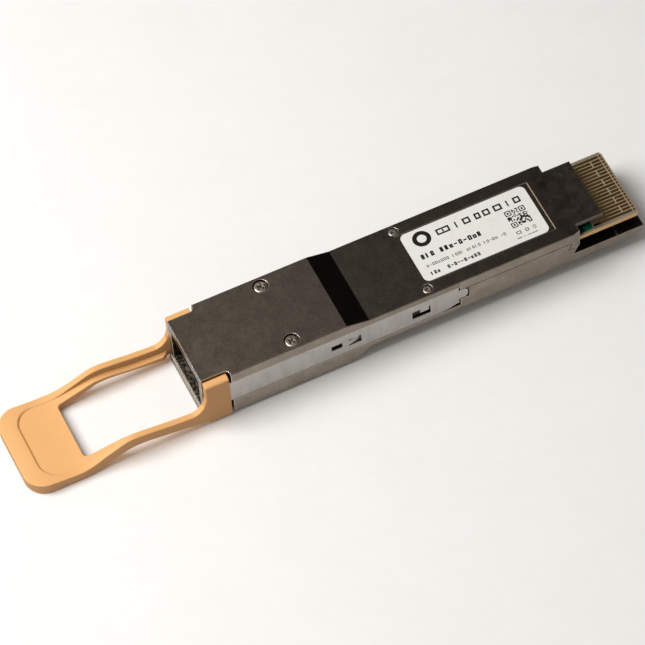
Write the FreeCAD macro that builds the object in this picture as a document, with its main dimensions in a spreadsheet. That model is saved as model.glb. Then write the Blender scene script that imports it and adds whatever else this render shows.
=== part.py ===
"""Pluggable optical transceiver module: double-density pluggable shell with a
multi-fibre optical port, a pull-tab latch and a two-row edge-contact card.

Frame: +X points towards the host connector, +Z up, +Y to the module's left.
The origin lies on the cage stop plane (where the wider nose ends and the
in-cage body begins), on the centre line of the lower bearing face.
"""
import FreeCAD, Part
import Sketcher
import os
import re

Vector = FreeCAD.Vector
Rotation = FreeCAD.Rotation
Placement = FreeCAD.Placement

doc = FreeCAD.newDocument("transceiver")

# ---------------------------------------------------------------- dimensions
DIMENSIONS = {
    "shell": {
        "shell_half_width": 9.175,
        "nose_length": 35.0,
        "cage_length": 58.3,
        "cage_height": 8.5,
        "nose_top": 9.5,
        "nose_bottom": -2.5,
        "lip_reach": 0.4,
        "top_ramp_start": -5.05,
        "top_ramp_end": -0.35,
        "bottom_ramp_start": -4.3,
        "seam_height": 6.0,
        "seam_gap": 0.05,
        "shell_end": 44.6,
        "shelf_start": 43.1,
        "shelf_height": 2.35,
        "lead_in_start": 55.3,
        "lead_in_rise": 0.85,
        "hook_seam_x": 42.0,
        "hook_seam_z": 4.25,
        "plan_taper": 0.35,
        "edge_radius": 0.25,
        "notch_length": 5.65,
        "notch_half_width": 7.7,
        "notch_radius": 0.9,
        "port_half_width": 6.45,
        "port_floor": -0.7,
        "port_roof": 7.65,
        "port_depth": 17.5,
        "port_radius": 0.6,
        "nose_cavity_half": 7.0,
        "nose_cavity_floor": -1.1,
        "nose_cavity_roof": 8.0,
        "cage_cavity_half": 7.9,
        "tail_cavity_half": 8.3,
        "tail_cavity_start": 22.0,
        "floor_thickness": 1.0,
        "roof_thickness": 1.0,
        "tongue_half_width": 7.05,
        "tongue_end": 50.4,
        "tongue_thickness": 0.9,
        "shelf_rib_x": 52.5,
        "shelf_rib_size": 0.14,
    },
    "latch": {
        "channel_depth": 0.5,
        "channel_bottom": 1.25,
        "channel_top": 7.0,
        "channel_end": 18.75,
        "tip_channel_end": 20.65,
        "arm_thickness": 0.3,
        "arm_face": 9.13,
        "arm_bottom": 1.35,
        "arm_top": 6.9,
        "arm_front": -33.5,
        "arm_shoulder": 18.45,
        "arm_tip": 20.35,
        "tip_bottom": 3.3,
        "tip_top": 5.9,
        "latch_travel": 2.8,
        "slot_start": -8.6,
        "slot_end": -6.0,
        "slot_low": 3.5,
        "slot_high": 4.9,
        "lug_depth": 1.3,
        "stop_start": -5.0,
        "stop_end": -2.25,
        "stop_low": 3.05,
        "stop_high": 5.1,
        "relief": 0.35,
        "window_start": 8.5,
        "window_end": 12.4,
        "window_low": 2.9,
        "window_high": 5.1,
        "spring_axis_y": 8.03,
        "spring_axis_z": 4.2,
        "spring_radius": 0.52,
        "spring_wire": 0.16,
        "spring_turns": 9,
        "spring_seat": -12.5,
    },
    "tab": {
        "tab_end": -71.6,
        "handle_half_width": 9.8,
        "handle_top": -0.8,
        "handle_thickness": 2.3,
        "handle_radius": 4.2,
        "handle_neck": -58.0,
        "tab_half_width": 9.45,
        "tab_step": 0.25,
        "rim_end": 3.5,
        "rim_side": 1.35,
        "rail_inner": 8.15,
        "tab_window_end": -59.4,
        "tab_window_half": 6.55,
        "arm_window_half": 7.05,
        "cap_front": -34.8,
        "cap_rear": -29.85,
        "cap_top": 8.85,
        "cap_bottom": -2.4,
        "cap_inner": 7.8,
        "cap_radius": 0.55,
    },
    "port": {
        "port_axis": 3.475,
        "receptacle_front": -26.5,
        "receptacle_rear": -18.2,
        "receptacle_half": 6.4,
        "guide_front": -33.6,
        "guide_thickness": 0.3,
        "nest_half_width": 3.9,
        "nest_half_height": 1.9,
        "nest_rear": -20.5,
        "rear_half_width": 3.4,
        "rear_half_height": 1.3,
        "hook_pivot_x": -25.6,
        "hook_pivot_y": 5.6,
        "hook_root_radius": 0.4,
        "hook_half_height": 1.9,
        "hook_thickness": 0.7,
        "hook_front": -33.4,
        "hook_barb": 0.75,
        "ferrule_front": -28.2,
        "ferrule_rear": -20.6,
        "ferrule_half_width": 3.2,
        "ferrule_half_height": 1.25,
        "flange_front": -22.0,
        "flange_grow": 0.28,
        "pin_spacing": 2.65,
        "pin_radius": 0.27,
        "pin_clearance": 0.02,
        "pin_front": -30.2,
        "pin_rear": -19.9,
        "boot_half_width": 2.15,
        "boot_half_height": 0.55,
        "boot_rear": -16.5,
        "ribbon_width": 2.0,
        "ribbon_gap": 0.08,
        "ribbon_thickness": 0.3,
        "ribbon_entry_z": 6.2,
    },
    "card": {
        "card_front": 1.5,
        "card_end": 57.8,
        "card_top": 5.8,
        "card_thickness": 1.0,
        "card_half_narrow": 7.7,
        "card_half_wide": 8.21,
        "card_widening": 22.6,
        "card_notch_half": 5.9,
        "card_notch_start": 10.9,
        "card_notch_end": 14.3,
        "card_corner": 0.5,
        "pad_pitch": 0.8,
        "pad_width": 0.56,
        "pad_thickness": 0.04,
        "pad_count": 19,
        "inner_row_start": 50.0,
        "row_split": 54.7,
        "outermost_start": 48.4,
        "row_gap": 0.3,
        "outer_row_end": 56.75,
        "first_mate_gap": 0.25,
        "first_mate_end": 57.4,
    },
    "fastening": {
        "nose_screw_x": -15.7,
        "nose_screw_y": 7.05,
        "nose_recess_radius": 1.55,
        "nose_head_radius": 1.38,
        "nose_head_height": 0.7,
        "nose_head_seat": 8.6,
        "nose_shank_radius": 0.8,
        "nose_shank_bottom": 2.0,
        "rear_screw_x": 12.6,
        "rear_screw_y": 7.6,
        "rear_recess_radius": 1.05,
        "rear_head_radius": 0.92,
        "rear_head_height": 0.4,
        "rear_head_seat": 8.0,
        "rear_shank_radius": 0.5,
        "rear_shank_bottom": 2.6,
        "screw_clearance": 0.1,
    },
    "label": {
        "label_start": 13.1,
        "label_end": 39.8,
        "label_half_width": 6.1,
        "label_radius": 1.2,
        "label_thickness": 0.1,
        "recess_start": 12.3,
        "recess_end": 40.7,
        "recess_half_width": 6.3,
        "recess_depth": 0.15,
    },
}

dims = doc.addObject("Spreadsheet::Sheet", "dims")
row = 1
for group, entries in DIMENSIONS.items():
    dims.set("A%d" % row, group)
    row += 1
    for alias, number in entries.items():
        dims.set("A%d" % row, alias)
        dims.set("B%d" % row, str(number))
        dims.setAlias("B%d" % row, alias)
        row += 1
doc.recompute()

ALIASES = {alias for entries in DIMENSIONS.values() for alias in entries}


# ------------------------------------------------------------------- helpers
def formula(text):
    """Turns 'nose_top - 1' into 'dims.nose_top - 1'."""
    return re.sub(r"[a-z][a-z_]*", lambda word: "dims." + word.group() if word.group() in ALIASES
                  else word.group(), str(text))


def number(text):
    """The present value of a formula on the sheet."""
    return float(dims.evalExpression(formula(text)))


def bind(thing, prop, text):
    thing.setExpression(prop, formula(text))


def block(name, along_x, along_y, along_z):
    """A box from its low and high formula on each axis."""
    box = doc.addObject("Part::Box", name)
    spans = {"x": ("Length", along_x), "y": ("Width", along_y), "z": ("Height", along_z)}
    for axis, (size, (low, high)) in spans.items():
        bind(box, "Placement.Base." + axis, low)
        bind(box, size, "(%s) - (%s)" % (high, low))
    return box


def rod(name, axis, centre, radius, low, high):
    """A cylinder along X or Z; centre holds the other two coordinates in order."""
    cylinder = doc.addObject("Part::Cylinder", name)
    bind(cylinder, "Radius", radius)
    bind(cylinder, "Height", "(%s) - (%s)" % (high, low))
    if axis == "x":
        cylinder.Placement = Placement(Vector(0, 0, 0), Rotation(Vector(0, 1, 0), 90))
        places = {"x": low, "y": centre[0], "z": centre[1]}
    else:
        places = {"x": centre[0], "y": centre[1], "z": low}
    for letter, text in places.items():
        bind(cylinder, "Placement.Base." + letter, text)
    return cylinder


def draw_polygon(sketch, corners):
    """Closed polygon whose every corner is dimensioned from the sketch origin."""
    points = [Vector(number(across), number(up), 0) for across, up in corners]
    for index, point in enumerate(points):
        following = points[(index + 1) % len(points)]
        sketch.addGeometry(Part.LineSegment(point, following))
    for index in range(len(points)):
        sketch.addConstraint(Sketcher.Constraint("Coincident", index, 2, (index + 1) % len(points), 1))
    for index, (across, up) in enumerate(corners):
        for kind, value, text in (("DistanceX", points[index].x, across), ("DistanceY", points[index].y, up)):
            place = sketch.addConstraint(Sketcher.Constraint(kind, -1, 1, index, 1, value))
            bind(sketch, "Constraints[%d]" % place, text)


PLANES = {
    "XY": (Rotation(), Vector(0, 0, 1), "z"),
    "XZ": (Rotation(Vector(1, 0, 0), 90), Vector(0, 1, 0), "y"),
    "YZ": (Rotation(Vector(1, 1, 1), 120), Vector(1, 0, 0), "x"),
}


def slab(name, plane, corners, low, high):
    """A polygon on a coordinate plane, pulled from low to high along its normal."""
    rotation, direction, letter = PLANES[plane]
    sketch = doc.addObject("Sketcher::SketchObject", name + "_outline")
    sketch.Placement = Placement(Vector(0, 0, 0), rotation)
    draw_polygon(sketch, corners)
    bind(sketch, "Placement.Base." + letter, low)
    pulled = doc.addObject("Part::Extrusion", name)
    pulled.Base = sketch
    pulled.DirMode = "Custom"
    pulled.Dir = direction
    pulled.Solid = True
    bind(pulled, "LengthFwd", "(%s) - (%s)" % (high, low))
    return pulled


def fuse(name, *pieces):
    joined = doc.addObject("Part::MultiFuse", name)
    joined.Shapes = list(pieces)
    joined.Refine = True
    return joined


def group(name, *pieces):
    gathered = doc.addObject("Part::Compound", name)
    gathered.Links = list(pieces)
    return gathered


def cut(name, base, *tools):
    remaining = doc.addObject("Part::Cut", name)
    remaining.Base = base
    remaining.Tool = tools[0] if len(tools) == 1 else fuse(name + "_tools", *tools)
    remaining.Refine = True
    return remaining


def common(name, one, other):
    shared = doc.addObject("Part::Common", name)
    shared.Base = one
    shared.Tool = other
    return shared


def fillet(name, base, radius, wanted):
    """Rounds the edges of base that the test wanted(edge) picks."""
    doc.recompute()
    rounded = doc.addObject("Part::Fillet", name)
    rounded.Base = base
    size = number(radius)
    rounded.Edges = [(index, size, size) for index, edge in enumerate(base.Shape.Edges, 1) if wanted(edge)]
    return rounded


def mirrored(name, source):
    """The same piece on the module's right-hand side."""
    other = doc.addObject("Part::Mirroring", name)
    other.Source = source
    other.Normal = Vector(0, 1, 0)
    return other


def both_sides(source):
    return [source, mirrored(source.Name + "_right_side", source)]


def points_along(edge, direction):
    """True for a straight edge parallel to a direction."""
    if edge.Curve.TypeId != "Part::GeomLine":
        return False
    return abs(abs(edge.Curve.Direction.dot(direction)) - 1) < 1e-6


def near(edge, **place):
    """True if the edge's middle has the given coordinates."""
    middle = edge.CenterOfMass
    return all(abs(getattr(middle, letter) - value) < 1e-3 for letter, value in place.items())


parts = []


def sub_part(label, thing):
    """Names a finished piece; the label becomes its file and node name."""
    thing.Label = label
    parts.append(thing)
    return thing


def origin_plane(body, role):
    return [feature for feature in body.Origin.OriginFeatures if feature.Role == role][0]


def body_sketch(body, name, role, corners, offset="0"):
    """A dimensioned polygon on one of the body's own origin planes."""
    sketch = body.newObject("Sketcher::SketchObject", name)
    sketch.AttachmentSupport = [(origin_plane(body, role), "")]
    sketch.MapMode = "FlatFace"
    bind(sketch, "AttachmentOffset.Base.z", offset)
    draw_polygon(sketch, corners)
    return sketch


def pad(body, name, sketch, length):
    feature = body.newObject("PartDesign::Pad", name)
    feature.Profile = sketch
    bind(feature, "Length", length)
    return feature


def pocket(body, name, sketch, length, reversed_cut=False):
    """Cuts along the sketch's normal, and makes sure that something was removed."""
    doc.recompute()
    before = body.Shape.Volume
    feature = body.newObject("PartDesign::Pocket", name)
    feature.Profile = sketch
    feature.Reversed = reversed_cut
    bind(feature, "Length", length)
    doc.recompute()
    if body.Shape.Volume > before - 1e-6:
        raise RuntimeError(name + " removed nothing")
    return feature


def dress_up(body, kind, name, size, text, wanted):
    """A fillet or chamfer on the edges of the body's last feature that the test picks."""
    doc.recompute()
    base = body.Tip
    names = ["Edge%d" % index for index, edge in enumerate(base.Shape.Edges, 1) if wanted(edge)]
    feature = body.newObject("PartDesign::" + kind, name)
    feature.Base = (base, names)
    bind(feature, size, text)
    return feature


def rectangle(low_across, high_across, low_up, high_up):
    return [(low_across, low_up), (high_across, low_up), (high_across, high_up), (low_across, high_up)]


def plate_body(name, corners, bottom, thickness):
    """A PartDesign body padded up from a plan outline."""
    body = doc.addObject("PartDesign::Body", name)
    pad(body, name + "_pad", body_sketch(body, name + "_plan", "XY_Plane", corners, bottom), thickness)
    return body


# --------------------------------------------------- cuts that both shells share
def shell_cuts(prefix):
    """Port, cavities, tab notches and latch channels, seen by upper and lower shell alike."""
    port = block(prefix + "_port", ("-nose_length - 2", "-port_depth"),
                 ("-port_half_width", "port_half_width"), ("port_floor", "port_roof"))
    port = fillet(prefix + "_port_round", port, "port_radius",
                  lambda edge: points_along(edge, Vector(1, 0, 0)))
    nose_cavity = block(prefix + "_nose_cavity", ("-port_depth - 1", "bottom_ramp_start"),
                        ("-nose_cavity_half", "nose_cavity_half"), ("nose_cavity_floor", "nose_cavity_roof"))
    throat = block(prefix + "_throat", ("bottom_ramp_start - 1", "1"),
                   ("-nose_cavity_half", "nose_cavity_half"),
                   ("floor_thickness", "cage_height - roof_thickness"))
    cage_cavity = block(prefix + "_cage_cavity", ("0", "tail_cavity_start + 1"),
                        ("-cage_cavity_half", "cage_cavity_half"),
                        ("floor_thickness", "cage_height - roof_thickness"))
    tail_cavity = block(prefix + "_tail_cavity", ("tail_cavity_start", "shelf_start"),
                        ("-tail_cavity_half", "tail_cavity_half"),
                        ("floor_thickness", "cage_height - roof_thickness"))
    tail_mouth = block(prefix + "_tail_mouth", ("shelf_start - 1", "cage_length + 2"),
                       ("-tail_cavity_half", "tail_cavity_half"),
                       ("shelf_height", "cage_height - roof_thickness"))
    notch = block(prefix + "_notch", ("-nose_length - 2", "-nose_length + notch_length"),
                  ("notch_half_width", "shell_half_width + 1"), ("nose_bottom - 1", "nose_top + 1"))
    notch = fillet(prefix + "_notch_round", notch, "notch_radius",
                   lambda edge: points_along(edge, Vector(0, 0, 1))
                   and near(edge, x=number("-nose_length + notch_length"), y=number("notch_half_width")))
    channel = block(prefix + "_channel", ("-nose_length + notch_length - 1", "channel_end"),
                    ("shell_half_width - channel_depth", "shell_half_width + 1"),
                    ("channel_bottom", "channel_top"))
    tip_channel = block(prefix + "_tip_channel", ("channel_end - 1", "tip_channel_end"),
                        ("shell_half_width - channel_depth", "shell_half_width + 1"),
                        ("tip_bottom - 0.2", "tip_top + 0.15"))
    taper = slab(prefix + "_taper", "XY",
                 [("shelf_start", "shell_half_width"),
                  ("shell_end + 0.1", "shell_half_width - plan_taper"),
                  ("shell_end + 0.1", "shell_half_width + 1"),
                  ("shelf_start", "shell_half_width + 1")],
                 "shelf_height", "cage_height + 1")
    centred = [port, nose_cavity, throat, cage_cavity, tail_cavity, tail_mouth]
    sided = [notch, channel, tip_channel, taper]
    return centred + [tool for side in sided for tool in both_sides(side)]


def along_the_sides(edge):
    """The long outer edges of a shell blank, where a side face meets the top, front or bottom."""
    on_side = abs(abs(edge.CenterOfMass.y) - number("shell_half_width")) < 1e-3
    height = edge.CenterOfMass.z
    return on_side and (height < number("channel_bottom") or height > number("channel_top"))


# ------------------------------------------------------------- lower die casting
lower_blank = slab("lower_blank", "XZ", [
    ("-nose_length - lip_reach", "nose_bottom"),
    ("bottom_ramp_start", "nose_bottom"),
    ("0", "0"),
    ("lead_in_start", "0"),
    ("cage_length", "lead_in_rise"),
    ("cage_length", "shelf_height"),
    ("shelf_start", "shelf_height"),
    ("shell_end - 0.2", "hook_seam_z - seam_gap"),
    ("hook_seam_x - seam_gap", "hook_seam_z - seam_gap"),
    ("hook_seam_x + 0.7", "seam_height - seam_gap"),
    ("-nose_length", "seam_height - seam_gap"),
    ("-nose_length", "port_floor - 0.05"),
    ("-nose_length - lip_reach", "port_floor - 0.25"),
], "-shell_half_width", "shell_half_width")
lower_blank = fillet("lower_blank_round", lower_blank, "edge_radius",
                     lambda edge: along_the_sides(edge) and edge.CenterOfMass.z < number("channel_bottom"))
lower_hollow = cut("lower_hollow", lower_blank, *shell_cuts("lower"))

nose_boss = rod("lower_nose_boss", "z", ("nose_screw_x", "nose_screw_y"), "2 * nose_shank_radius",
                "nose_bottom + 0.5", "seam_height")
rear_boss = rod("lower_rear_boss", "z", ("rear_screw_x", "rear_screw_y"), "2 * rear_shank_radius",
                "0.5", "seam_height")
card_rail = block("card_rail", ("card_front + 0.5", "shell_end - 4"),
                  ("cage_cavity_half - 0.7", "tail_cavity_half"), ("0.5", "card_top - card_thickness"))
shelf_rib = block("shelf_rib", ("shelf_rib_x", "shelf_rib_x + 2 * shelf_rib_size"),
                  ("-shell_half_width + edge_radius", "shell_half_width - edge_radius"),
                  ("shelf_height - 0.1", "shelf_height + shelf_rib_size"))
lower_solid = fuse("lower_solid", lower_hollow, shelf_rib,
                   *both_sides(nose_boss), *both_sides(rear_boss), *both_sides(card_rail))

spring_pocket = block("spring_pocket", ("spring_seat", "slot_end + 0.2"),
                      ("spring_axis_y - spring_radius - 0.18", "shell_half_width"),
                      ("spring_axis_z - 0.85", "spring_axis_z + 0.85"))
stop_pocket = block("stop_pocket", ("stop_start - latch_travel - 0.3", "stop_end - 0.2"),
                    ("shell_half_width - 1", "shell_half_width"), ("stop_low - 0.1", "stop_high + 0.1"))
nose_thread = rod("nose_thread", "z", ("nose_screw_x", "nose_screw_y"), "nose_shank_radius",
                  "nose_shank_bottom - 0.5", "seam_height + 1")
rear_thread = rod("rear_thread", "z", ("rear_screw_x", "rear_screw_y"), "rear_shank_radius",
                  "rear_shank_bottom - 0.5", "seam_height + 1")
sub_part("bottom_housing", cut("bottom_housing", lower_solid,
                               *both_sides(spring_pocket), *both_sides(stop_pocket),
                               *both_sides(nose_thread), *both_sides(rear_thread)))

# ------------------------------------------------------------- upper die casting
upper_blank = slab("upper_blank", "XZ", [
    ("-nose_length", "seam_height"),
    ("hook_seam_x + 0.75", "seam_height"),
    ("hook_seam_x", "hook_seam_z"),
    ("shell_end", "hook_seam_z"),
    ("shell_end", "cage_height"),
    ("top_ramp_end", "cage_height"),
    ("top_ramp_start", "nose_top"),
    ("-nose_length", "nose_top"),
], "-shell_half_width", "shell_half_width")
upper_blank = fillet("upper_blank_round", upper_blank, "edge_radius",
                     lambda edge: along_the_sides(edge) and edge.CenterOfMass.z > number("channel_top")
                     and not points_along(edge, Vector(0, 0, 1)))
upper_hollow = cut("upper_hollow", upper_blank, *shell_cuts("upper"))

tongue = block("tongue", ("shell_end - 1", "tongue_end"), ("-tongue_half_width", "tongue_half_width"),
               ("cage_height - tongue_thickness", "cage_height"))
upper_nose_boss = rod("upper_nose_boss", "z", ("nose_screw_x", "nose_screw_y"), "2 * nose_shank_radius",
                      "seam_height", "nose_top - 0.5")
upper_rear_boss = rod("upper_rear_boss", "z", ("rear_screw_x", "rear_screw_y"), "2 * rear_shank_radius",
                      "seam_height", "cage_height - 0.3")
card_clamp = block("card_clamp", ("card_front + 2", "card_front + 5"),
                   ("card_half_narrow - 1", "cage_cavity_half - seam_gap"), ("card_top", "cage_height - 0.5"))
tail_clamp = block("tail_clamp", ("shell_end - 6", "shell_end - 3"),
                   ("card_half_wide - 1", "tail_cavity_half - seam_gap"), ("card_top", "cage_height - 0.5"))
upper_solid = fuse("upper_solid", upper_hollow, tongue,
                   *both_sides(upper_nose_boss), *both_sides(upper_rear_boss),
                   *both_sides(card_clamp), *both_sides(tail_clamp))

label_recess = block("label_recess", ("recess_start", "recess_end"),
                     ("-recess_half_width", "recess_half_width"),
                     ("cage_height - recess_depth", "cage_height + 1"))
nose_recess = rod("nose_recess", "z", ("nose_screw_x", "nose_screw_y"), "nose_recess_radius",
                  "nose_head_seat", "nose_top + 1")
nose_clearance = rod("nose_clearance", "z", ("nose_screw_x", "nose_screw_y"),
                     "nose_shank_radius + screw_clearance", "seam_height - 1", "nose_top")
rear_recess = rod("rear_recess", "z", ("rear_screw_x", "rear_screw_y"), "rear_recess_radius",
                  "rear_head_seat", "cage_height + 1")
rear_clearance = rod("rear_clearance", "z", ("rear_screw_x", "rear_screw_y"),
                     "rear_shank_radius + screw_clearance", "seam_height - 1", "cage_height")
sub_part("top_housing", cut("top_housing", upper_solid, label_recess,
                            *both_sides(nose_recess), *both_sides(nose_clearance),
                            *both_sides(rear_recess), *both_sides(rear_clearance)))


# ------------------------------------------------------------------ latch arms
def latch_arm():
    """Stamped stainless strip: outline, lanced spring lug, lanced stop and tip, left side."""
    body = doc.addObject("PartDesign::Body", "arm_strip")
    outline = body_sketch(body, "arm_outline", "XZ_Plane", [
        ("arm_front", "arm_bottom"),
        ("arm_shoulder - 3.6", "arm_bottom"),
        ("arm_shoulder - 1.9", "arm_bottom + 0.25"),
        ("arm_shoulder - 0.6", "arm_bottom + 0.75"),
        ("arm_shoulder", "arm_bottom + 0.75"),
        ("arm_shoulder", "tip_bottom"),
        ("arm_tip - 0.6", "tip_bottom"),
        ("arm_tip", "tip_bottom + 0.6"),
        ("arm_tip", "tip_top - 0.6"),
        ("arm_tip - 0.6", "tip_top"),
        ("arm_shoulder", "tip_top"),
        ("arm_shoulder", "arm_top"),
        ("arm_front", "arm_top"),
    ], "-arm_face")
    pad(body, "arm_pad", outline, "arm_thickness")
    openings = {
        "lug_slot": rectangle("slot_start", "slot_end", "slot_low", "slot_high"),
        "stop_slot": [
            ("stop_start", "stop_high"),
            ("stop_start", "stop_high - relief"),
            ("stop_start + relief", "stop_high - relief"),
            ("stop_start + relief", "stop_low + relief"),
            ("stop_start", "stop_low + relief"),
            ("stop_start", "stop_low"),
            ("stop_end", "stop_low"),
            ("stop_end", "stop_high"),
        ],
        "rear_window": [
            ("window_start", "window_low"),
            ("window_end", "window_low"),
            ("window_end", "window_high"),
            ("window_end - relief", "window_high"),
            ("window_end - relief", "window_high - 1"),
            ("window_start + 1.7", "window_high - 1"),
            ("window_start + 1.7", "window_high"),
            ("window_start", "window_high"),
        ],
    }
    for name, corners in openings.items():
        pocket(body, name, body_sketch(body, name + "_outline", "XZ_Plane", corners, "-arm_face - 1"),
               "arm_thickness + 2", reversed_cut=True)
    lug = block("spring_lug", ("slot_end - arm_thickness", "slot_end + 0.05"),
                ("arm_face - arm_thickness - lug_depth", "arm_face"), ("slot_low + 0.05", "slot_high - 0.05"))
    stop = slab("stop_flap", "XY",
                [("stop_start + relief - 0.05", "arm_face"),
                 ("stop_start + relief - 0.05", "arm_face - arm_thickness"),
                 ("stop_end - relief", "arm_face - 0.75"),
                 ("stop_end - relief", "arm_face - 0.45")],
                "stop_low + relief", "stop_high - relief")
    return fuse("latch_arm", body, lug, stop)


left_arm = sub_part("latch_arm_left", latch_arm())
right_arm = sub_part("latch_arm_right", mirrored("latch_arm_mirror", left_arm))


# -------------------------------------------------------------- return springs
def return_spring(name, side):
    """Compression spring along X, in the side-wall pocket ahead of the latch arm's lug."""
    length = "slot_end - arm_thickness - spring_seat - 2 * spring_wire"
    coil = doc.addObject("Part::Helix", name + "_line")
    bind(coil, "Height", length)
    bind(coil, "Pitch", "(%s) / spring_turns" % length)
    bind(coil, "Radius", "spring_radius")
    wire = doc.addObject("Part::Circle", name + "_wire")
    bind(wire, "Radius", "spring_wire / 2")
    wire.Placement = Placement(Vector(number("spring_radius"), 0, 0), Rotation(Vector(1, 0, 0), 90))
    doc.recompute()
    spring = doc.addObject("Part::Sweep", name)
    spring.Sections = [wire]
    spring.Spine = (coil, ["Edge%d" % index for index in range(1, len(coil.Shape.Edges) + 1)])
    spring.Solid = True
    spring.Frenet = True
    spring.Placement = Placement(Vector(0, 0, 0), Rotation(Vector(0, 1, 0), 90))
    bind(spring, "Placement.Base.x", "spring_seat + spring_wire")
    bind(spring, "Placement.Base.y", "%d * spring_axis_y" % side)
    bind(spring, "Placement.Base.z", "spring_axis_z")
    return sub_part(name, spring)


return_spring("return_spring_left", 1)
return_spring("return_spring_right", -1)


# -------------------------------------------------------------------- pull tab
def free_form_slab(name, upper, lower, half_width):
    """A band between two smooth curves in the XZ plane, as wide as the tab."""
    def curve(points):
        line = Part.BSplineCurve()
        line.interpolate([Vector(across, 0, up) for across, up in points])
        return line.toShape()
    top = curve(upper)
    bottom = curve(lower)
    front = Part.LineSegment(bottom.Vertexes[0].Point, top.Vertexes[0].Point).toShape()
    rear = Part.LineSegment(bottom.Vertexes[-1].Point, top.Vertexes[-1].Point).toShape()
    face = Part.Face(Part.Wire(Part.__sortEdges__([top, bottom, front, rear])))
    face.translate(Vector(0, -half_width, 0))
    feature = doc.addObject("Part::Feature", name)
    feature.Shape = face.extrude(Vector(0, 2 * half_width, 0))
    return feature


def pull_tab():
    """Overmoulded elastomer tab: handle plate, two L-section arms and the two shell caps."""
    end = number("tab_end") - 1
    top = number("handle_top")
    bottom = top - number("handle_thickness")
    nose = number("cap_front") + 0.6
    half = number("handle_half_width") + 1
    # Each arm rises from the handle to a crest and falls gently towards the shell.
    crest = [(-58.0, 0.5), (-56.0, 1.3), (-54.0, 2.15), (-51.5, 3.15), (-48.5, 3.25), (-44.0, 2.7),
             (-40.0, 2.28), (-37.6, 2.12)]
    rail_line = [(end, top), (-64.0, top), (-60.0, top + 0.02)]
    rail_line += [(across, top + rise) for across, rise in crest] + [(nose, top + 2.1)]
    sole = [(-58.0, 0.25), (-56.0, 0.95), (-54.0, 1.75), (-51.5, 2.7), (-48.5, 3.0), (-44.0, 2.45),
            (-40.0, 1.9), (-37.6, 1.5)]
    sole_line = [(end, bottom), (-64.0, bottom), (-60.0, bottom + 0.02)]
    sole_line += [(across, bottom + rise) for across, rise in sole] + [(nose, bottom + 1.0)]
    ledge = [(-58.0, 0.3), (-56.0, 0.8), (-54.0, 1.3), (-51.5, 1.85), (-48.5, 1.85), (-44.0, 1.15),
             (-40.0, 0.8), (-37.6, 0.66)]
    floor = top - number("tab_step")
    ledge_line = [(end, floor), (-64.0, floor), (-60.0, floor + 0.02)]
    ledge_line += [(across, floor + rise) for across, rise in ledge] + [(nose + 0.5, floor + 0.55)]
    above = [(end, 12.0), (nose + 0.5, 12.0)]

    band = free_form_slab("tab_band", rail_line, sole_line, half)
    over_ledge = free_form_slab("tab_over_ledge", above, ledge_line, half)
    plan = slab("tab_plan", "XY", [
        ("tab_end", "-handle_half_width"),
        ("handle_neck - 3", "-handle_half_width"),
        ("handle_neck + 2", "-tab_half_width"),
        ("cap_front + 0.6", "-tab_half_width"),
        ("cap_front + 0.6", "tab_half_width"),
        ("handle_neck + 2", "tab_half_width"),
        ("handle_neck - 3", "handle_half_width"),
        ("tab_end", "handle_half_width"),
    ], "-6", "12")
    plan = fillet("tab_plan_round", plan, "handle_radius",
                  lambda edge: points_along(edge, Vector(0, 0, 1)) and near(edge, x=number("tab_end")))
    window = slab("tab_window", "XY", [
        ("tab_window_end", "-tab_window_half"),
        ("handle_neck + 7", "-arm_window_half"),
        ("cap_front - 2", "-arm_window_half"),
        ("cap_front - 0.7", "-rail_inner"),
        ("cap_front + 1", "-rail_inner"),
        ("cap_front + 1", "rail_inner"),
        ("cap_front - 0.7", "rail_inner"),
        ("cap_front - 2", "arm_window_half"),
        ("handle_neck + 7", "arm_window_half"),
        ("tab_window_end", "tab_window_half"),
    ], "-6", "12")
    window = fillet("tab_window_round", window, "0.8",
                    lambda edge: points_along(edge, Vector(0, 0, 1))
                    and near(edge, x=number("tab_window_end")))
    inner = slab("tab_inner", "XY", [
        ("tab_end + rim_end", "-handle_half_width + rim_side"),
        ("handle_neck", "-rail_inner"),
        ("cap_front + 1", "-rail_inner"),
        ("cap_front + 1", "rail_inner"),
        ("handle_neck", "rail_inner"),
        ("tab_end + rim_end", "handle_half_width - rim_side"),
    ], "-6", "12")
    inner = fillet("tab_inner_round", inner, "handle_radius - 0.3",
                   lambda edge: points_along(edge, Vector(0, 0, 1))
                   and near(edge, x=number("tab_end + rim_end")))
    frame = cut("tab_frame", common("tab_blank", band, plan), window,
                common("tab_step_cut", over_ledge, inner))

    cap = slab("cap", "XZ", [
        ("cap_rear", "cap_bottom"),
        ("cap_rear", "cap_top"),
        ("cap_front", "cap_top"),
        ("cap_front", "5"),
        ("cap_front - 0.6", "3"),
        ("cap_front - 1.6", "1.85"),
        ("cap_front - 2.8", "1.32"),
        ("cap_front - 2.8", "0"),
        ("cap_front - 0.4", "cap_bottom + 0.35"),
        ("cap_front + 0.4", "cap_bottom"),
    ], "rail_inner", "tab_half_width")
    cap_pad = block("cap_pad", ("cap_front", "cap_rear"), ("cap_inner", "tab_half_width - 0.5"),
                    ("cap_bottom", "cap_top"))
    cap = fuse("cap_block", cap, cap_pad)
    cap = fillet("cap_round", cap, "cap_radius",
                 lambda edge: near(edge, z=number("cap_top")) and near(edge, y=number("tab_half_width")))
    # The front end of the metal strip is moulded into the cap.
    arm_seat = block("arm_seat", ("arm_front", "cap_rear + 1"), ("arm_face - arm_thickness", "arm_face"),
                     ("arm_bottom", "arm_top"))
    return cut("pull_tab", fuse("tab_solid", frame, *both_sides(cap)), *both_sides(arm_seat))


sub_part("pull_tab", pull_tab())

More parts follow.
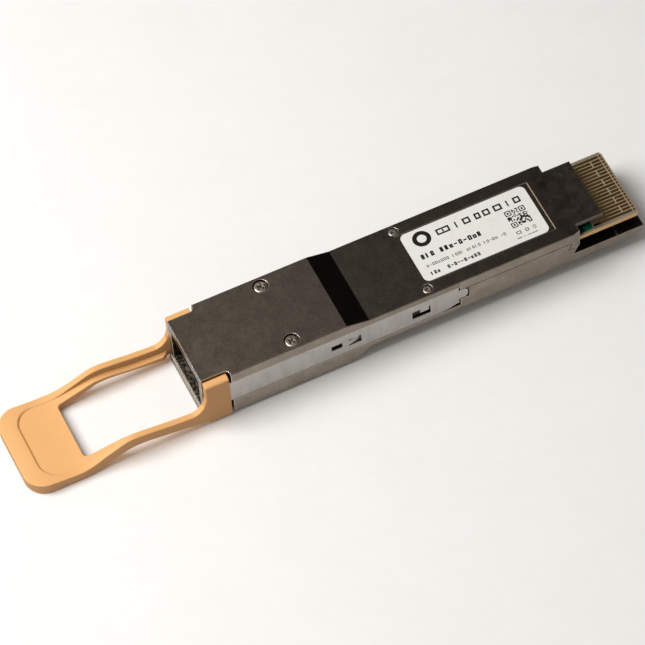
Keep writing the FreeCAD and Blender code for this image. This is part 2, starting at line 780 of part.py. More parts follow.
# ------------------------------------------------------- optical port receptacle
receptacle = block("receptacle_block", ("receptacle_front", "receptacle_rear"),
                   ("-receptacle_half", "receptacle_half"), ("port_floor + 0.05", "port_roof - 0.05"))
receptacle = fillet("receptacle_round", receptacle, "port_radius",
                    lambda edge: points_along(edge, Vector(1, 0, 0)))
guides = [
    block("floor_guide", ("guide_front", "receptacle_front + 0.5"),
          ("-receptacle_half + 0.9", "receptacle_half - 0.9"),
          ("port_floor + 0.05", "port_floor + 0.05 + guide_thickness")),
    block("roof_guide", ("guide_front", "receptacle_front + 0.5"),
          ("-receptacle_half + 0.9", "receptacle_half - 0.9"),
          ("port_roof - 0.05 - guide_thickness", "port_roof - 0.05")),
]
nest = block("ferrule_nest", ("receptacle_front - 1", "nest_rear"), ("-nest_half_width", "nest_half_width"),
             ("port_axis - nest_half_height", "port_axis + nest_half_height"))
rear_opening = block("receptacle_rear_opening", ("nest_rear - 1", "receptacle_rear + 1"),
                     ("-rear_half_width", "rear_half_width"),
                     ("port_axis - rear_half_height", "port_axis + rear_half_height"))
key_groove = block("key_groove", ("guide_front - 1", "receptacle_front"), ("-1.5", "1.5"),
                   ("port_roof - 1", "port_roof"))
hook_recess = block("hook_recess", ("receptacle_front - 1", "hook_pivot_x + hook_root_radius + 0.15"),
                    ("hook_pivot_y - 0.65", "receptacle_half + 1"),
                    ("port_axis - hook_half_height - 0.15", "port_axis + hook_half_height + 0.15"))
sub_part("mpo_receptacle", cut("mpo_receptacle", fuse("receptacle_solid", receptacle, *guides),
                               nest, rear_opening, key_groove, *both_sides(hook_recess)))

hook_low = "port_axis - hook_half_height"
hook_high = "port_axis + hook_half_height"
hook_root = rod("hook_root", "z", ("hook_pivot_x", "hook_pivot_y"), "hook_root_radius", hook_low, hook_high)
hook_arm = slab("hook_arm", "XY", [
    ("hook_pivot_x", "hook_pivot_y - hook_thickness / 2"),
    ("hook_pivot_x", "hook_pivot_y + hook_thickness / 2"),
    ("hook_front", "hook_pivot_y + hook_thickness / 2 - 0.15"),
    ("hook_front", "hook_pivot_y - hook_thickness / 2"),
    ("hook_front + 0.7", "hook_pivot_y - hook_thickness / 2 - hook_barb"),
    ("hook_front + 1.2", "hook_pivot_y - hook_thickness / 2 - hook_barb"),
    ("hook_front + 1.3", "hook_pivot_y - hook_thickness / 2"),
], hook_low, hook_high)
left_hook = sub_part("mpo_hook_left", fuse("hook_left", hook_root, hook_arm))
sub_part("mpo_hook_right", mirrored("hook_right", left_hook))

# ----------------------------------------------------- ferrule, pins and fibres
ferrule = doc.addObject("PartDesign::Body", "ferrule_body")
pad(ferrule, "ferrule_core", body_sketch(ferrule, "ferrule_face", "YZ_Plane", rectangle(
    "-ferrule_half_width", "ferrule_half_width",
    "port_axis - ferrule_half_height", "port_axis + ferrule_half_height"), "ferrule_front"),
    "flange_front - ferrule_front")
pad(ferrule, "ferrule_flange", body_sketch(ferrule, "flange_face", "YZ_Plane", rectangle(
    "-ferrule_half_width - flange_grow", "ferrule_half_width + flange_grow",
    "port_axis - ferrule_half_height - flange_grow", "port_axis + ferrule_half_height + flange_grow"),
    "flange_front"), "ferrule_rear - flange_front")


def pin_rods(name, radius, low, high):
    return both_sides(rod(name, "x", ("pin_spacing", "port_axis"), radius, low, high))


boot_space = block("boot_space", ("ferrule_rear - 0.5", "pin_rear + 1"),
                   ("-boot_half_width", "boot_half_width"),
                   ("port_axis - boot_half_height", "port_axis + boot_half_height"))
sub_part("mt_ferrule", cut("ferrule", ferrule, boot_space, *pin_rods(
    "pin_bore", "pin_radius + pin_clearance", "ferrule_front - 1", "ferrule_rear + 1")))
sub_part("guide_pins", group("guide_pins", *pin_rods("pin", "pin_radius", "pin_front", "pin_rear")))
clamp_plate = block("clamp_plate", ("ferrule_rear", "pin_rear"),
                    ("-rear_half_width + 0.1", "rear_half_width - 0.1"),
                    ("port_axis - rear_half_height + 0.1", "port_axis + rear_half_height - 0.1"))
clamp_window = block("clamp_window", ("ferrule_rear - 1", "pin_rear + 1"),
                     ("-boot_half_width", "boot_half_width"),
                     ("port_axis - boot_half_height", "port_axis + boot_half_height"))
sub_part("pin_clamp", cut("pin_clamp", clamp_plate, clamp_window, *pin_rods(
    "clamp_bore", "pin_radius + pin_clearance", "ferrule_rear - 1", "pin_rear + 1")))
sub_part("ferrule_boot", block("ferrule_boot", ("ferrule_rear - 0.5", "boot_rear"),
                               ("-boot_half_width", "boot_half_width"),
                               ("port_axis - boot_half_height", "port_axis + boot_half_height")))


def fibre_ribbon(name, side):
    """Eight-fibre ribbon that rises in an S from the ferrule boot to a lens block."""
    start = number("boot_rear")
    low = number("port_axis")
    high = number("ribbon_entry_z")
    finish = number("card_front + 4.8")
    half = number("ribbon_thickness") / 2
    shares = [(0.0, 0.0), (0.12, 0.03), (0.30, 0.30), (0.46, 0.70), (0.64, 0.95), (0.82, 1.0), (1.0, 1.0)]
    line = [(start + (finish - start) * along, low + (high - low) * rise) for along, rise in shares]
    width = number("ribbon_width")
    ribbon = free_form_slab(name, [(across, up + half) for across, up in line],
                            [(across, up - half) for across, up in line], width / 2)
    ribbon.Placement = Placement(Vector(0, side * (number("ribbon_gap") + width / 2), 0), Rotation())
    return sub_part(name, ribbon)


fibre_ribbon("fibre_ribbon_transmit", 1)
fibre_ribbon("fibre_ribbon_receive", -1)

# ------------------------------------------------------------------ circuit card
card = doc.addObject("PartDesign::Body", "card_body")
card_outline = [
    ("card_front", "card_half_narrow"),
    ("card_notch_start", "card_half_narrow"),
    ("card_notch_start", "card_notch_half"),
    ("card_notch_end", "card_notch_half"),
    ("card_notch_end", "card_half_narrow"),
    ("card_widening", "card_half_narrow"),
    ("card_widening + 0.5", "card_half_wide"),
    ("card_end - card_corner", "card_half_wide"),
    ("card_end", "card_half_wide - card_corner"),
]
card_outline += [(across, "-(%s)" % up) for across, up in reversed(card_outline)]
pad(card, "card_pad", body_sketch(card, "card_plan", "XY_Plane", card_outline, "card_top - card_thickness"),
    "card_thickness")
dress_up(card, "Chamfer", "card_lead_in", "Size", "0.22",
         lambda edge: points_along(edge, Vector(0, 1, 0)) and near(edge, x=number("card_end")))
sub_part("circuit_board", card)


def edge_pads(name, low, high):
    """Two rows of gold contacts on one face of the card, and the short row that mates first.
    Every third column is a ground, which runs through both rows; the outermost two start further back."""
    pads = []
    count = int(number("pad_count"))
    for column in range(count):
        middle = "(%g) * pad_pitch" % (column - (count - 1) / 2)
        across = ("%s - pad_width / 2" % middle, "%s + pad_width / 2" % middle)
        start = "outermost_start" if column in (0, count - 1) else "inner_row_start"
        if column % 3 == 0:
            rows = [(start, "outer_row_end")]
        else:
            rows = [(start, "row_split"), ("row_split + row_gap", "outer_row_end")]
        for rank, along in enumerate(rows + [("outer_row_end + first_mate_gap", "first_mate_end")]):
            pads.append(block("%s_%d_%d" % (name, column, rank), along, across, (low, high)))
    return sub_part(name, group(name, *pads))


edge_pads("edge_pads_top", "card_top", "card_top + pad_thickness")
edge_pads("edge_pads_bottom", "card_top - card_thickness - pad_thickness", "card_top - card_thickness")

# -------------------------------------------------------- parts on the card's top
for word, side in (("transmit", 1), ("receive", -1)):
    near_edge, far_edge = ("0.1", "3.6") if side > 0 else ("-3.6", "-0.1")
    lens = slab("lens_blank_" + word, "XZ", [
        ("card_front + 4.8", "card_top"),
        ("card_front + 9.8", "card_top"),
        ("card_front + 9.8", "card_top + 0.6"),
        ("card_front + 8.9", "card_top + 1.5"),
        ("card_front + 4.8", "card_top + 1.5"),
    ], near_edge, far_edge)
    hollow_span = ("0.6", "3.1") if side > 0 else ("-3.1", "-0.6")
    hollow = block("lens_hollow_" + word, ("card_front + 6.8", "card_front + 9.2"), hollow_span,
                   ("card_top - 0.1", "card_top + 0.45"))
    sub_part("lens_block_" + word, cut("lens_" + word, lens, hollow))

for word, side in (("laser_array", 1), ("photodiode_array", -1)):
    across = ("0.8", "2.9") if side > 0 else ("-2.9", "-0.8")
    sub_part(word, block(word, ("card_front + 7.8", "card_front + 8.2"), across,
                         ("card_top", "card_top + 0.2")))
for word, side in (("laser_driver", 1), ("receiver_amplifier", -1)):
    across = ("0.5", "3.5") if side > 0 else ("-3.5", "-0.5")
    sub_part(word, block(word, ("card_front + 10.6", "card_front + 13.4"), across,
                         ("card_top", "card_top + 0.6")))

clip_outline = [
    ("4.1", "card_top"),
    ("4.1", "card_top + 1.65"),
    ("-4.1", "card_top + 1.65"),
    ("-4.1", "card_top"),
    ("-3.95", "card_top"),
    ("-3.95", "card_top + 1.5"),
    ("3.95", "card_top + 1.5"),
    ("3.95", "card_top"),
]
sub_part("lens_clip", slab("lens_clip", "YZ", clip_outline, "card_front + 5.4", "card_front + 8"))
sub_part("optics_thermal_pad", block("optics_thermal_pad", ("card_front + 10.6", "card_front + 13.4"),
                                     ("-3.6", "3.6"), ("card_top + 0.6", "cage_height - roof_thickness")))

processor = plate_body("processor_body", rectangle("card_front + 23.5", "card_front + 35.5", "-6", "6"),
                       "card_top", "0.5")
pad(processor, "processor_lid", body_sketch(processor, "lid_plan", "XY_Plane", rectangle(
    "card_front + 24.2", "card_front + 34.8", "-5.3", "5.3"), "card_top + 0.5"), "0.7")
sub_part("signal_processor", processor)
sub_part("processor_thermal_pad", plate_body("processor_pad_body", rectangle(
    "card_front + 24.7", "card_front + 34.3", "-4.8", "4.8"), "card_top + 1.2",
    "cage_height - roof_thickness - card_top - 1.2"))


def chip_row(name, places, length, width, low, high):
    """Small parts of one kind, soldered at a list of places on the card."""
    chips = [block("%s_%d" % (name, index), ("card_front + %g" % along, "card_front + %g" % (along + length)),
                   ("%g" % across, "%g" % (across + width)), (low, high))
             for index, (along, across) in enumerate(places)]
    return sub_part(name, group(name, *chips))


CAPACITOR_COLUMN = [-6.6 + 1.55 * index for index in range(9)]
chip_row("capacitors", [(along, across) for along in (21.8, 36.6) for across in CAPACITOR_COLUMN],
         1.0, 0.5, "card_top", "card_top + 0.5")
under = "card_top - card_thickness"
chip_row("power_inductors", [(14.0, -5.5), (14.0, -1.25), (14.0, 3.0)], 2.5, 2.5, under + " - 1.5", under)
chip_row("microcontroller", [(26.5, -2.5)], 5.0, 5.0, under + " - 0.9", under)
chip_row("oscillator", [(20.5, 3.0)], 2.5, 2.0, under + " - 0.8", under)
chip_row("voltage_regulators", [(5.0, -4.0), (5.0, 1.0)], 3.0, 3.0, under + " - 0.8", under)


# --------------------------------------------------------------------- screws
def screw_pair(name, word):
    """Two cross-recess machine screws, one each side of the centre line."""
    place = (word + "_screw_x", word + "_screw_y")
    seat = word + "_head_seat"
    top = "%s + %s_head_height" % (seat, word)
    head = rod(name + "_head", "z", place, word + "_head_radius", seat, top)
    head = fillet(name + "_crown", head, word + "_head_height / 3",
                  lambda edge: near(edge, z=number(top)) and edge.Curve.TypeId == "Part::GeomCircle")
    shank = rod(name + "_shank", "z", place, word + "_shank_radius", word + "_shank_bottom", seat + " + 0.1")
    reach = word + "_head_radius * 0.62"
    slot = word + "_head_radius * 0.13"
    cross = [
        block(name + "_cross_a", ("%s - %s" % (place[0], reach), "%s + %s" % (place[0], reach)),
              ("%s - %s" % (place[1], slot), "%s + %s" % (place[1], slot)), (seat + " + 0.1", top + " + 1")),
        block(name + "_cross_b", ("%s - %s" % (place[0], slot), "%s + %s" % (place[0], slot)),
              ("%s - %s" % (place[1], reach), "%s + %s" % (place[1], reach)),
              (seat + " + 0.1", top + " + 1")),
    ]
    screw = cut(name + "_one", fuse(name + "_solid", head, shank), *cross)
    return sub_part(name, group(name, *both_sides(screw)))


screw_pair("nose_screws", "nose")
screw_pair("rear_screws", "rear")

# ---------------------------------------------------------------------- label
label = plate_body("label_body", rectangle(
    "label_start", "label_end", "-label_half_width", "label_half_width"),
    "cage_height - recess_depth", "label_thickness")
dress_up(label, "Fillet", "label_corners", "Radius", "label_radius",
         lambda edge: points_along(edge, Vector(0, 0, 1)))
sub_part("label", label)

# ------------------------------------------------------------- check and write
doc.recompute()
for thing in doc.Objects:
    if "Invalid" in thing.State or "Error" in thing.State:
        raise RuntimeError("%s failed: %s" % (thing.Name, thing.State))
for piece in parts:
    if piece.Shape.isNull() or not piece.Shape.isValid() or not piece.Shape.Solids:
        raise RuntimeError(piece.Label + " has no valid shape")

os.makedirs("parts", exist_ok=True)
for piece in parts:
    piece.Shape.exportStep("parts/%s.step" % piece.Label)
    print("%-26s %3d solids %10.3f mm3" % (piece.Label, len(piece.Shape.Solids), piece.Shape.Volume))
print(len(parts), "sub-parts")
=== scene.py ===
"""Looks for a double-density optical transceiver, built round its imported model, in the order in which the
real one is put together. Sizes are in millimetres in the row frame, and become metres where a mesh is
made."""

import math
import random

import bmesh
import bpy
from mathutils import Matrix, Vector


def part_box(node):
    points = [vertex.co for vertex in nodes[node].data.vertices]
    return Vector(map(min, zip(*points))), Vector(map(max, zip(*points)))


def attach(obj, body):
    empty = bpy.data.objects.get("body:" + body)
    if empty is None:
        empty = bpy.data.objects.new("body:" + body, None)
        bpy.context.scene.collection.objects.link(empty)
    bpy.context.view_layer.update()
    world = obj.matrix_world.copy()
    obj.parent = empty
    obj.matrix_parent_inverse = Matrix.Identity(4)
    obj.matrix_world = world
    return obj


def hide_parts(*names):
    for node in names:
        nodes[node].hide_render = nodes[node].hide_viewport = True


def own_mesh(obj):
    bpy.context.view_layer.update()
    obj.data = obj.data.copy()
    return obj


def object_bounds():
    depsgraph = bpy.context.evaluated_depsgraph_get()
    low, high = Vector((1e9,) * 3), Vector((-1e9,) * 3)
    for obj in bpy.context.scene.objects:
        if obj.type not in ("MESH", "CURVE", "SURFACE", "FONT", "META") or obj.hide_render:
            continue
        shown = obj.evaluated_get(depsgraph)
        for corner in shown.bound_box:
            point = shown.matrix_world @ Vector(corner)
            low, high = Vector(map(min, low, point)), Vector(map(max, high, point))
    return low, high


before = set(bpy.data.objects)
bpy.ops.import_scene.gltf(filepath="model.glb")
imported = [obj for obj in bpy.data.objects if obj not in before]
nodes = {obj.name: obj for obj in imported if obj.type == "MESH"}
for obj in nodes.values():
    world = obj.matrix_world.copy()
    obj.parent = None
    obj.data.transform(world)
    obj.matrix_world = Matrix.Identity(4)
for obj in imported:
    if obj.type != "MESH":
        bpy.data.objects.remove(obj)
cad_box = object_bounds()


# ---------------------------------------------------------------------- lower casting
# The lower half of the shell is a zinc die casting, tumbled, copper flashed and nickel plated. The plating is
# satin on the flats, burnished bright on the corners by handling and by the cage, and cloudy where it is
# thickest.
mm = 0.001


class Wire:
    """One socket of a finish. Arithmetic written on it becomes Math nodes."""

    def __init__(self, finish, socket):
        self.finish, self.socket = finish, socket

    def math(self, operation, *values):
        return self.finish.node("Math", {"operation": operation}, dict(enumerate(values)))

    def __add__(self, other):
        return self.math("ADD", self, other)

    def __sub__(self, other):
        return self.math("SUBTRACT", self, other)

    def __rsub__(self, other):
        return self.math("SUBTRACT", other, self)

    def __mul__(self, other):
        return self.math("MULTIPLY", self, other)

    def __gt__(self, other):
        return self.math("GREATER_THAN", self, other)

    def __lt__(self, other):
        return self.math("LESS_THAN", self, other)

    def __abs__(self):
        return self.math("ABSOLUTE", self)

    __radd__, __rmul__ = __add__, __mul__

    def within(self, low, high):
        """1 where the value lies between two limits."""
        return (self > low) * (self < high)

    def near(self, middle, half):
        """1 where the value is less than half away from the middle."""
        return self.within(middle - half, middle + half)

    def ramp(self, low, high):
        """The value rescaled so that low is 0 and high is 1, and held there outside them."""
        return self.finish.node("MapRange", {"clamp": True},
                                {"Value": self, "From Min": low, "From Max": high})


class Finish:
    """A material made of nodes: one shader, and the wires that feed it."""

    def __init__(self, name, **constants):
        self.material = bpy.data.materials.new(name)
        self.material.use_nodes = True
        self.tree = self.material.node_tree
        self.tree.nodes.clear()
        self.shader = self.node("BsdfPrincipled", {}, {
            key.replace("_", " ").title().replace("Ior", "IOR"): value for key, value in constants.items()})
        self.node("OutputMaterial", {}, {"Surface": self.shader})
        place = self.node("TexCoord", {}, {}, "Object")
        self.place = self.node("VectorMath", {"operation": "SCALE"}, {0: place, "Scale": 1 / mm})
        self.x, self.y, self.z = (self.node("SeparateXYZ", {}, {0: self.place}, k) for k in range(3))

    def node(self, kind, settings, sockets, out=0):
        """Any shader node: its settings first, then a value or a wire for each of its sockets."""
        made = self.tree.nodes.new("ShaderNode" + kind)
        for key, value in settings.items():
            setattr(made, key, value)
        for key, value in sockets.items():
            if isinstance(value, Wire):
                self.tree.links.new(value.socket, made.inputs[key])
            else:
                made.inputs[key].default_value = value
        return Wire(self, made.outputs[out]) if made.outputs else None

    def feed(self, **wires):
        """Links wires to the shader's sockets of the same names."""
        for key, wire in wires.items():
            self.tree.links.new(wire.socket, self.shader.socket.node.inputs[key.replace("_", " ").title()])

    def mix(self, factor, first, second):
        """Colour between two colours; a factor of 0 gives the first."""
        colours = {index: value if isinstance(value, Wire) else (*value, 1)
                   for index, value in ((6, first), (7, second))}
        return self.node("Mix", {"data_type": "RGBA"}, {0: factor, **colours}, 2)

    def mottle(self, size, detail=3, stretch=(1, 1, 1)):
        """Cloudy noise from 0 to 1, with patches of about this size in millimetres."""
        place = self.node("VectorMath", {"operation": "DIVIDE"}, {0: self.place, 1: stretch})
        return self.node("TexNoise", {}, {"Vector": place, "Scale": 1 / size, "Detail": detail,
                                          "Roughness": 0.6})

    def rise(self, normal="True Normal"):
        """How far the surface faces up: 1 on a level top, 0 on a wall, -1 underneath."""
        return self.node("SeparateXYZ", {}, {0: self.node("NewGeometry", {}, {}, normal)}, 2)

    def worn(self, width):
        """1 on outside edges, falling to 0 this far in from them, in millimetres."""
        inside = self.node("AmbientOcclusion", {"samples": 8, "inside": True, "only_local": True},
                           {"Distance": width * mm}, "AO")
        return (1 - inside).ramp(0.12, 0.5)

    def hollow(self, width):
        """1 in corners and gaps up to this width, 0 on open faces."""
        outside = self.node("AmbientOcclusion", {"samples": 6}, {"Distance": width * mm}, "AO")
        return (1 - outside).ramp(0.25, 0.9)

    def relief(self, height, depth, edge=None):
        """Surface texture from a height wire, up to this deep, over edges rounded to this radius."""
        sockets = {"Height": height, "Distance": depth * mm, "Strength": 1.0}
        if edge:
            sockets["Normal"] = self.node("Bevel", {"samples": 6}, {"Radius": edge * mm})
        return self.node("Bump", {}, sockets)


def dress(finish, *names):
    """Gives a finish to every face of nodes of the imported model."""
    for name in names:
        for place in nodes[name].material_slots:
            place.material = finish.material


def toned(colour, share):
    """A colour made darker or lighter by a share."""
    return [share * part for part in colour]


# Colours: the plating, its worn edges, its painted shade, the warm painted shade on the nose's top, the
# painted highlight at the end of the recess, and the two tones painted in the port: its shade and paler
# speckles.
NICKEL, BURNISHED, SHADE = (0.35, 0.295, 0.245), (0.66, 0.62, 0.56), (0.006, 0.005, 0.004)
NOSE_TOP_SHADE, RIM_HIGHLIGHT = (0.02, 0.008, 0.0), (0.5, 0.41, 0.3)
PORT_SHADE, PORT_SPECKLE = (0.03, 0.024, 0.018), (0.42, 0.35, 0.26)
# Where the surface changes along the shell, from the plug's end to the tail.
# Painted shade deepens along the shell from the first of the next two limits to the second.
NOSE_FACE, TAIL_SHADE_START, TAIL_SHADE_END = -34.9, -25, 55
PORT_START, PORT_END, PORT_HALF, PORT_FLOOR, PORT_ROOF = -34.85, -17.0, 6.5, -0.75, 7.7
BAY_START, BAY_END, BAY_INNER, BAY_OUTER, BAY_LOW, BAY_HIGH = -13.5, 19.5, 7.0, 8.72, 1.2, 7.0
RAMP_START, RAMP_END = -5.05, -0.35
RIM_START, RIM_END, RECESS_HALF, RECESS_FLOOR = 40.67, 40.83, 6.2, 8.37
SKIN_START, SKIN_FULL, FADE_START, FADE_END = 40.8, 42.8, 48, 43
SHELF_START, SHELF_TOP, HOOD_END = 43.2, 2.6, 44.65
LEVEL = 0.9
# The seam between the castings runs level, slants down at its step, and runs level again to the hood's end.
SEAM, SEAM_HALF, SEAM_START, SEAM_END = 5.975, 0.07, 18.8, 42.75
SLANT_TOP, SLANT_LEAN, SLANT_HALF = 42.72, 0.75 / 1.75, 0.1
STEP_SEAM, STEP_HALF, STEP_FOOT = 4.22, 0.09, 42.0
SHELTER_LOW, SHELTER_HIGH = 3.6, 6.6


def plated_casting(name):
    """Satin nickel over a casting: cloudy patches, a fine tumbled grain, burnished corners, and painted shade
    in its corners and gaps. It is lapped smooth behind the ramp, and rough on the tongue and shelf that no
    sliding part touches. Painted shade darkens it towards the tail, on the level faces behind the ramp, on
    the shelf, along the seam and in the bays behind the arms; the ramp carries a painted dark reflection, the
    nose's top a warm painted shade, the end of the recess a painted highlight, and the port painted shade
    with paler speckles."""
    plate = Finish(name, metallic=1.0)
    cloud, patch, grain = plate.mottle(2.6, 4), plate.mottle(0.6, 5), plate.mottle(0.2, 2)
    tone = (0.36 * cloud + 0.26 * patch + 0.38 * grain).ramp(0.36, 0.64)
    level = plate.rise() > LEVEL
    lapped = level * (plate.x > RAMP_END)
    nose_top = level * (plate.x < RAMP_START) * (plate.z > SEAM)
    sloped = level * plate.x.within(RAMP_START, RAMP_END)
    beyond = plate.x > HOOD_END
    tongue_side = beyond * (plate.z > SEAM) * (1 - level)
    skin = level * plate.x.ramp(SKIN_START, SKIN_FULL)
    shelf = level * (plate.x > SHELF_START) * (plate.z < SHELF_TOP)
    behind_arm = plate.x.within(BAY_START, BAY_END) * abs(plate.y).within(BAY_INNER, BAY_OUTER) \
        * plate.z.within(BAY_LOW, BAY_HIGH)
    above_arm = (1 - level) * (plate.z > BAY_HIGH) * (plate.x < SEAM_START)
    slant = plate.x - SLANT_TOP - (plate.z - SEAM) * SLANT_LEAN
    seam = (plate.z.near(SEAM, SEAM_HALF) * plate.x.within(SEAM_START, SEAM_END)
            + slant.near(0, SLANT_HALF) * plate.z.within(STEP_SEAM, SEAM)
            + plate.z.near(STEP_SEAM, STEP_HALF) * plate.x.within(STEP_FOOT, HOOD_END)).ramp(0, 1)
    # Painted shade: darker towards the tail, on the level faces behind the ramp, on the shelf, along the seam
    # and in the bays behind the arms, and a painted dark reflection on the ramp. The skin's mottled patches
    # are its own tone; the tongue's sides, the skin just behind the recess, the nose's front face and the
    # sides above the arms are simply made darker.
    painted_shade_and_patches = 1 - math.prod(1 - share * mask for share, mask in (
        (0.34, plate.x.ramp(TAIL_SHADE_START, TAIL_SHADE_END)), (0.46, lapped), (0.88, sloped), (0.6, tongue_side),
        (0.75, shelf), (0.85, seam), (0.9, behind_arm), (0.5, skin * plate.mottle(1.6, 5).ramp(0.35, 0.65)),
        (0.35, skin * plate.x.ramp(FADE_START, FADE_END)), (0.5, plate.x < NOSE_FACE), (0.22, above_arm)))
    rim = plate.x.within(RIM_START, RIM_END) * (plate.z > RECESS_FLOOR) * plate.y.near(0, RECESS_HALF)
    sheltered = plate.x.within(SEAM_START, SHELF_START) * plate.z.within(SHELTER_LOW, SHELTER_HIGH)
    wear = plate.worn(0.3) * plate.mottle(1.1, 4).ramp(0.05, 0.4) * (1 - 0.6 * beyond) * (1 - sheltered) \
        * (1 - rim)
    in_port = plate.x.within(PORT_START, PORT_END) * plate.y.near(0, PORT_HALF) \
        * plate.z.within(PORT_FLOOR, PORT_ROOF)

    colour = plate.mix(tone, toned(NICKEL, 0.74), toned(NICKEL, 1.26))
    # Painted shade over the plating, with the skin's darker patches.
    colour = plate.mix(painted_shade_and_patches, colour, SHADE)
    # A warm painted shade on the nose's level top.
    colour = plate.mix(0.34 * nose_top, colour, NOSE_TOP_SHADE)
    colour = plate.mix(wear, colour, BURNISHED)
    # Painted shade in corners and gaps.
    colour = plate.mix(plate.hollow(0.35), colour, toned(NICKEL, 0.2))
    # A painted highlight along the end of the recess.
    colour = plate.mix(rim, colour, RIM_HIGHLIGHT)
    # Painted shade in the port, broken by paler speckles.
    colour = plate.mix(in_port * (1 - wear), colour, plate.mix(patch.ramp(0.42, 0.62), PORT_SHADE, PORT_SPECKLE))
    roughness = 0.27 + 0.08 * patch + 0.05 * cloud - 0.1 * wear - 0.06 * lapped + 0.12 * skin + 0.35 * rim
    height = 0.5 * grain + 0.3 * plate.mottle(0.1, 2) + 0.6 * skin * plate.mottle(0.8, 4)
    plate.feed(base_color=colour, roughness=roughness, normal=plate.relief(height, depth=0.014, edge=0.18))
    return plate


dress(plated_casting("satin_nickel_lower"), "bottom_housing")

# ---------------------------------------------------------------------- card
# A ten-layer laminate card: green solder mask over the electronics, bare cream laminate round the contacts,
# and routed edges. The contacts are hard gold, plated 0.04 mm proud of both faces, in two rows and a short
# first-mate row at the tip.
MASK_END, MASK_HALF, WINDOW_START, WINDOW_EDGE = 48.2, 7.72, 46.35, 6.25
LAMINATE, ROUTED, ROUTED_DARK = (0.36, 0.27, 0.17), (0.78, 0.48, 0.23), (0.48, 0.27, 0.11)
MASK_DEEP, MASK_BRIGHT, MASK_SHADED = (0.0, 0.105, 0.045), (0.0, 0.16, 0.07), (0.004, 0.014, 0.009)
GOLD_DULL, GOLD_RUBBED = (0.3, 0.18, 0.06), (0.52, 0.35, 0.14)


def bands(finish, direction, scale, distortion):
    """Soft parallel lines across one direction."""
    return finish.node("TexWave", {"wave_type": "BANDS", "bands_direction": direction},
                       {"Vector": finish.place, "Scale": scale, "Distortion": distortion})


board = Finish("card_laminate", specular_ior_level=0.5, coat_roughness=0.12)
on_face = abs(board.rise()) > 0.5
aside = abs(board.y)
masked = on_face * (board.x < MASK_END) * (aside < MASK_HALF)
# Painted shadow covers the solder mask, which lies in the shade under the tongue; the green shows only in a
# window along each side by the hood.
window = (board.x > WINDOW_START) * (aside > WINDOW_EDGE)
weave = bands(board, "X", 2.2, 0.6) * bands(board, "Y", 2.2, 0.6)
cream = board.mix(weave * 0.35 + 0.35 * board.mottle(0.5), LAMINATE, toned(LAMINATE, 0.6))
routed = board.mix(bands(board, "Z", 1.6, 0.3) * 0.4, ROUTED, ROUTED_DARK)
green = board.mix(board.mottle(0.8).ramp(0.3, 0.7), MASK_DEEP, MASK_BRIGHT)
face_colour = board.mix(masked, cream, board.mix(window, MASK_SHADED, green))
board.feed(base_color=board.mix(on_face, routed, face_colour),
           roughness=0.55 - 0.3 * masked + 0.1 * board.mottle(0.3), coat_weight=0.6 * masked,
           normal=board.relief(weave * 0.4 + 0.6 * board.mottle(0.12, 2), depth=0.01, edge=0.05))
dress(board, "circuit_board")

gold = Finish("hard_gold", metallic=1.0)
rub = gold.mottle(0.7, 4, (6, 0.35, 1)).ramp(0.35, 0.7)
gold.feed(base_color=gold.mix(rub, GOLD_DULL, GOLD_RUBBED), roughness=0.16 + 0.12 * rub,
          normal=gold.relief(gold.mottle(0.08, 3, (5, 1, 1)), depth=0.003, edge=0.02))
dress(gold, "edge_pads_top", "edge_pads_bottom")

# Tinned test strips run along both side margins of the contact face, each a pale band crossed by fine slots.
TICK_START, TICK_END, TICK_PITCH, TICK_SHARE = 48.3, 57.1, 0.36, 0.6
BAND_INNER, BAND_OUTER, BAND_THICKNESS, BAND_SUNK = 7.52, 8.02, 0.03, 0.002
TIN_DULL, TIN_BRIGHT = (0.55, 0.52, 0.48), (0.8, 0.76, 0.7)

tin = Finish("tinned_copper", metallic=1.0)
tin.feed(base_color=tin.mix(tin.mottle(0.3, 4).ramp(0.3, 0.7), TIN_DULL, TIN_BRIGHT),
         roughness=0.28 + 0.14 * tin.mottle(0.2, 3),
         normal=tin.relief(tin.mottle(0.12, 3), depth=0.005, edge=0.02))


def solid_piece(name, shape, finish, body=None):
    """A mesh object in the row frame from a bmesh in millimetres, riding on a body."""
    bmesh.ops.recalc_face_normals(shape, faces=shape.faces)
    mesh = bpy.data.meshes.new(name)
    bmesh.ops.scale(shape, vec=(mm, mm, mm), verts=shape.verts)
    shape.to_mesh(mesh)
    shape.free()
    mesh.materials.append(finish.material)
    piece = bpy.data.objects.new(name, mesh)
    bpy.context.scene.collection.objects.link(piece)
    if body:
        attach(piece, body)
    return piece


def wall(shape, low, high):
    """Faces between two loops with as many corners as each other."""
    for k in range(len(low)):
        after = (k + 1) % len(low)
        shape.faces.new((low[k], low[after], high[after], high[k]))


def prism(shape, corners, low, high):
    """A closed upright prism on a flat outline of (x, y) corners."""
    bottom, top = ([shape.verts.new((x, y, z)) for x, y in corners] for z in (low, high))
    shape.faces.new(bottom)
    shape.faces.new(top)
    wall(shape, bottom, top)


card_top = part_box("circuit_board")[1].z / mm
shape = bmesh.new()
for side in (-1, 1):
    x = TICK_START
    while x < TICK_END:
        end = x + TICK_PITCH * TICK_SHARE
        prism(shape, ((x, side * BAND_INNER), (end, side * BAND_INNER),
                      (end, side * BAND_OUTER), (x, side * BAND_OUTER)),
              card_top - BAND_SUNK, card_top + BAND_THICKNESS)
        x += TICK_PITCH
solid_piece("margin_strips", shape, tin, "shell")


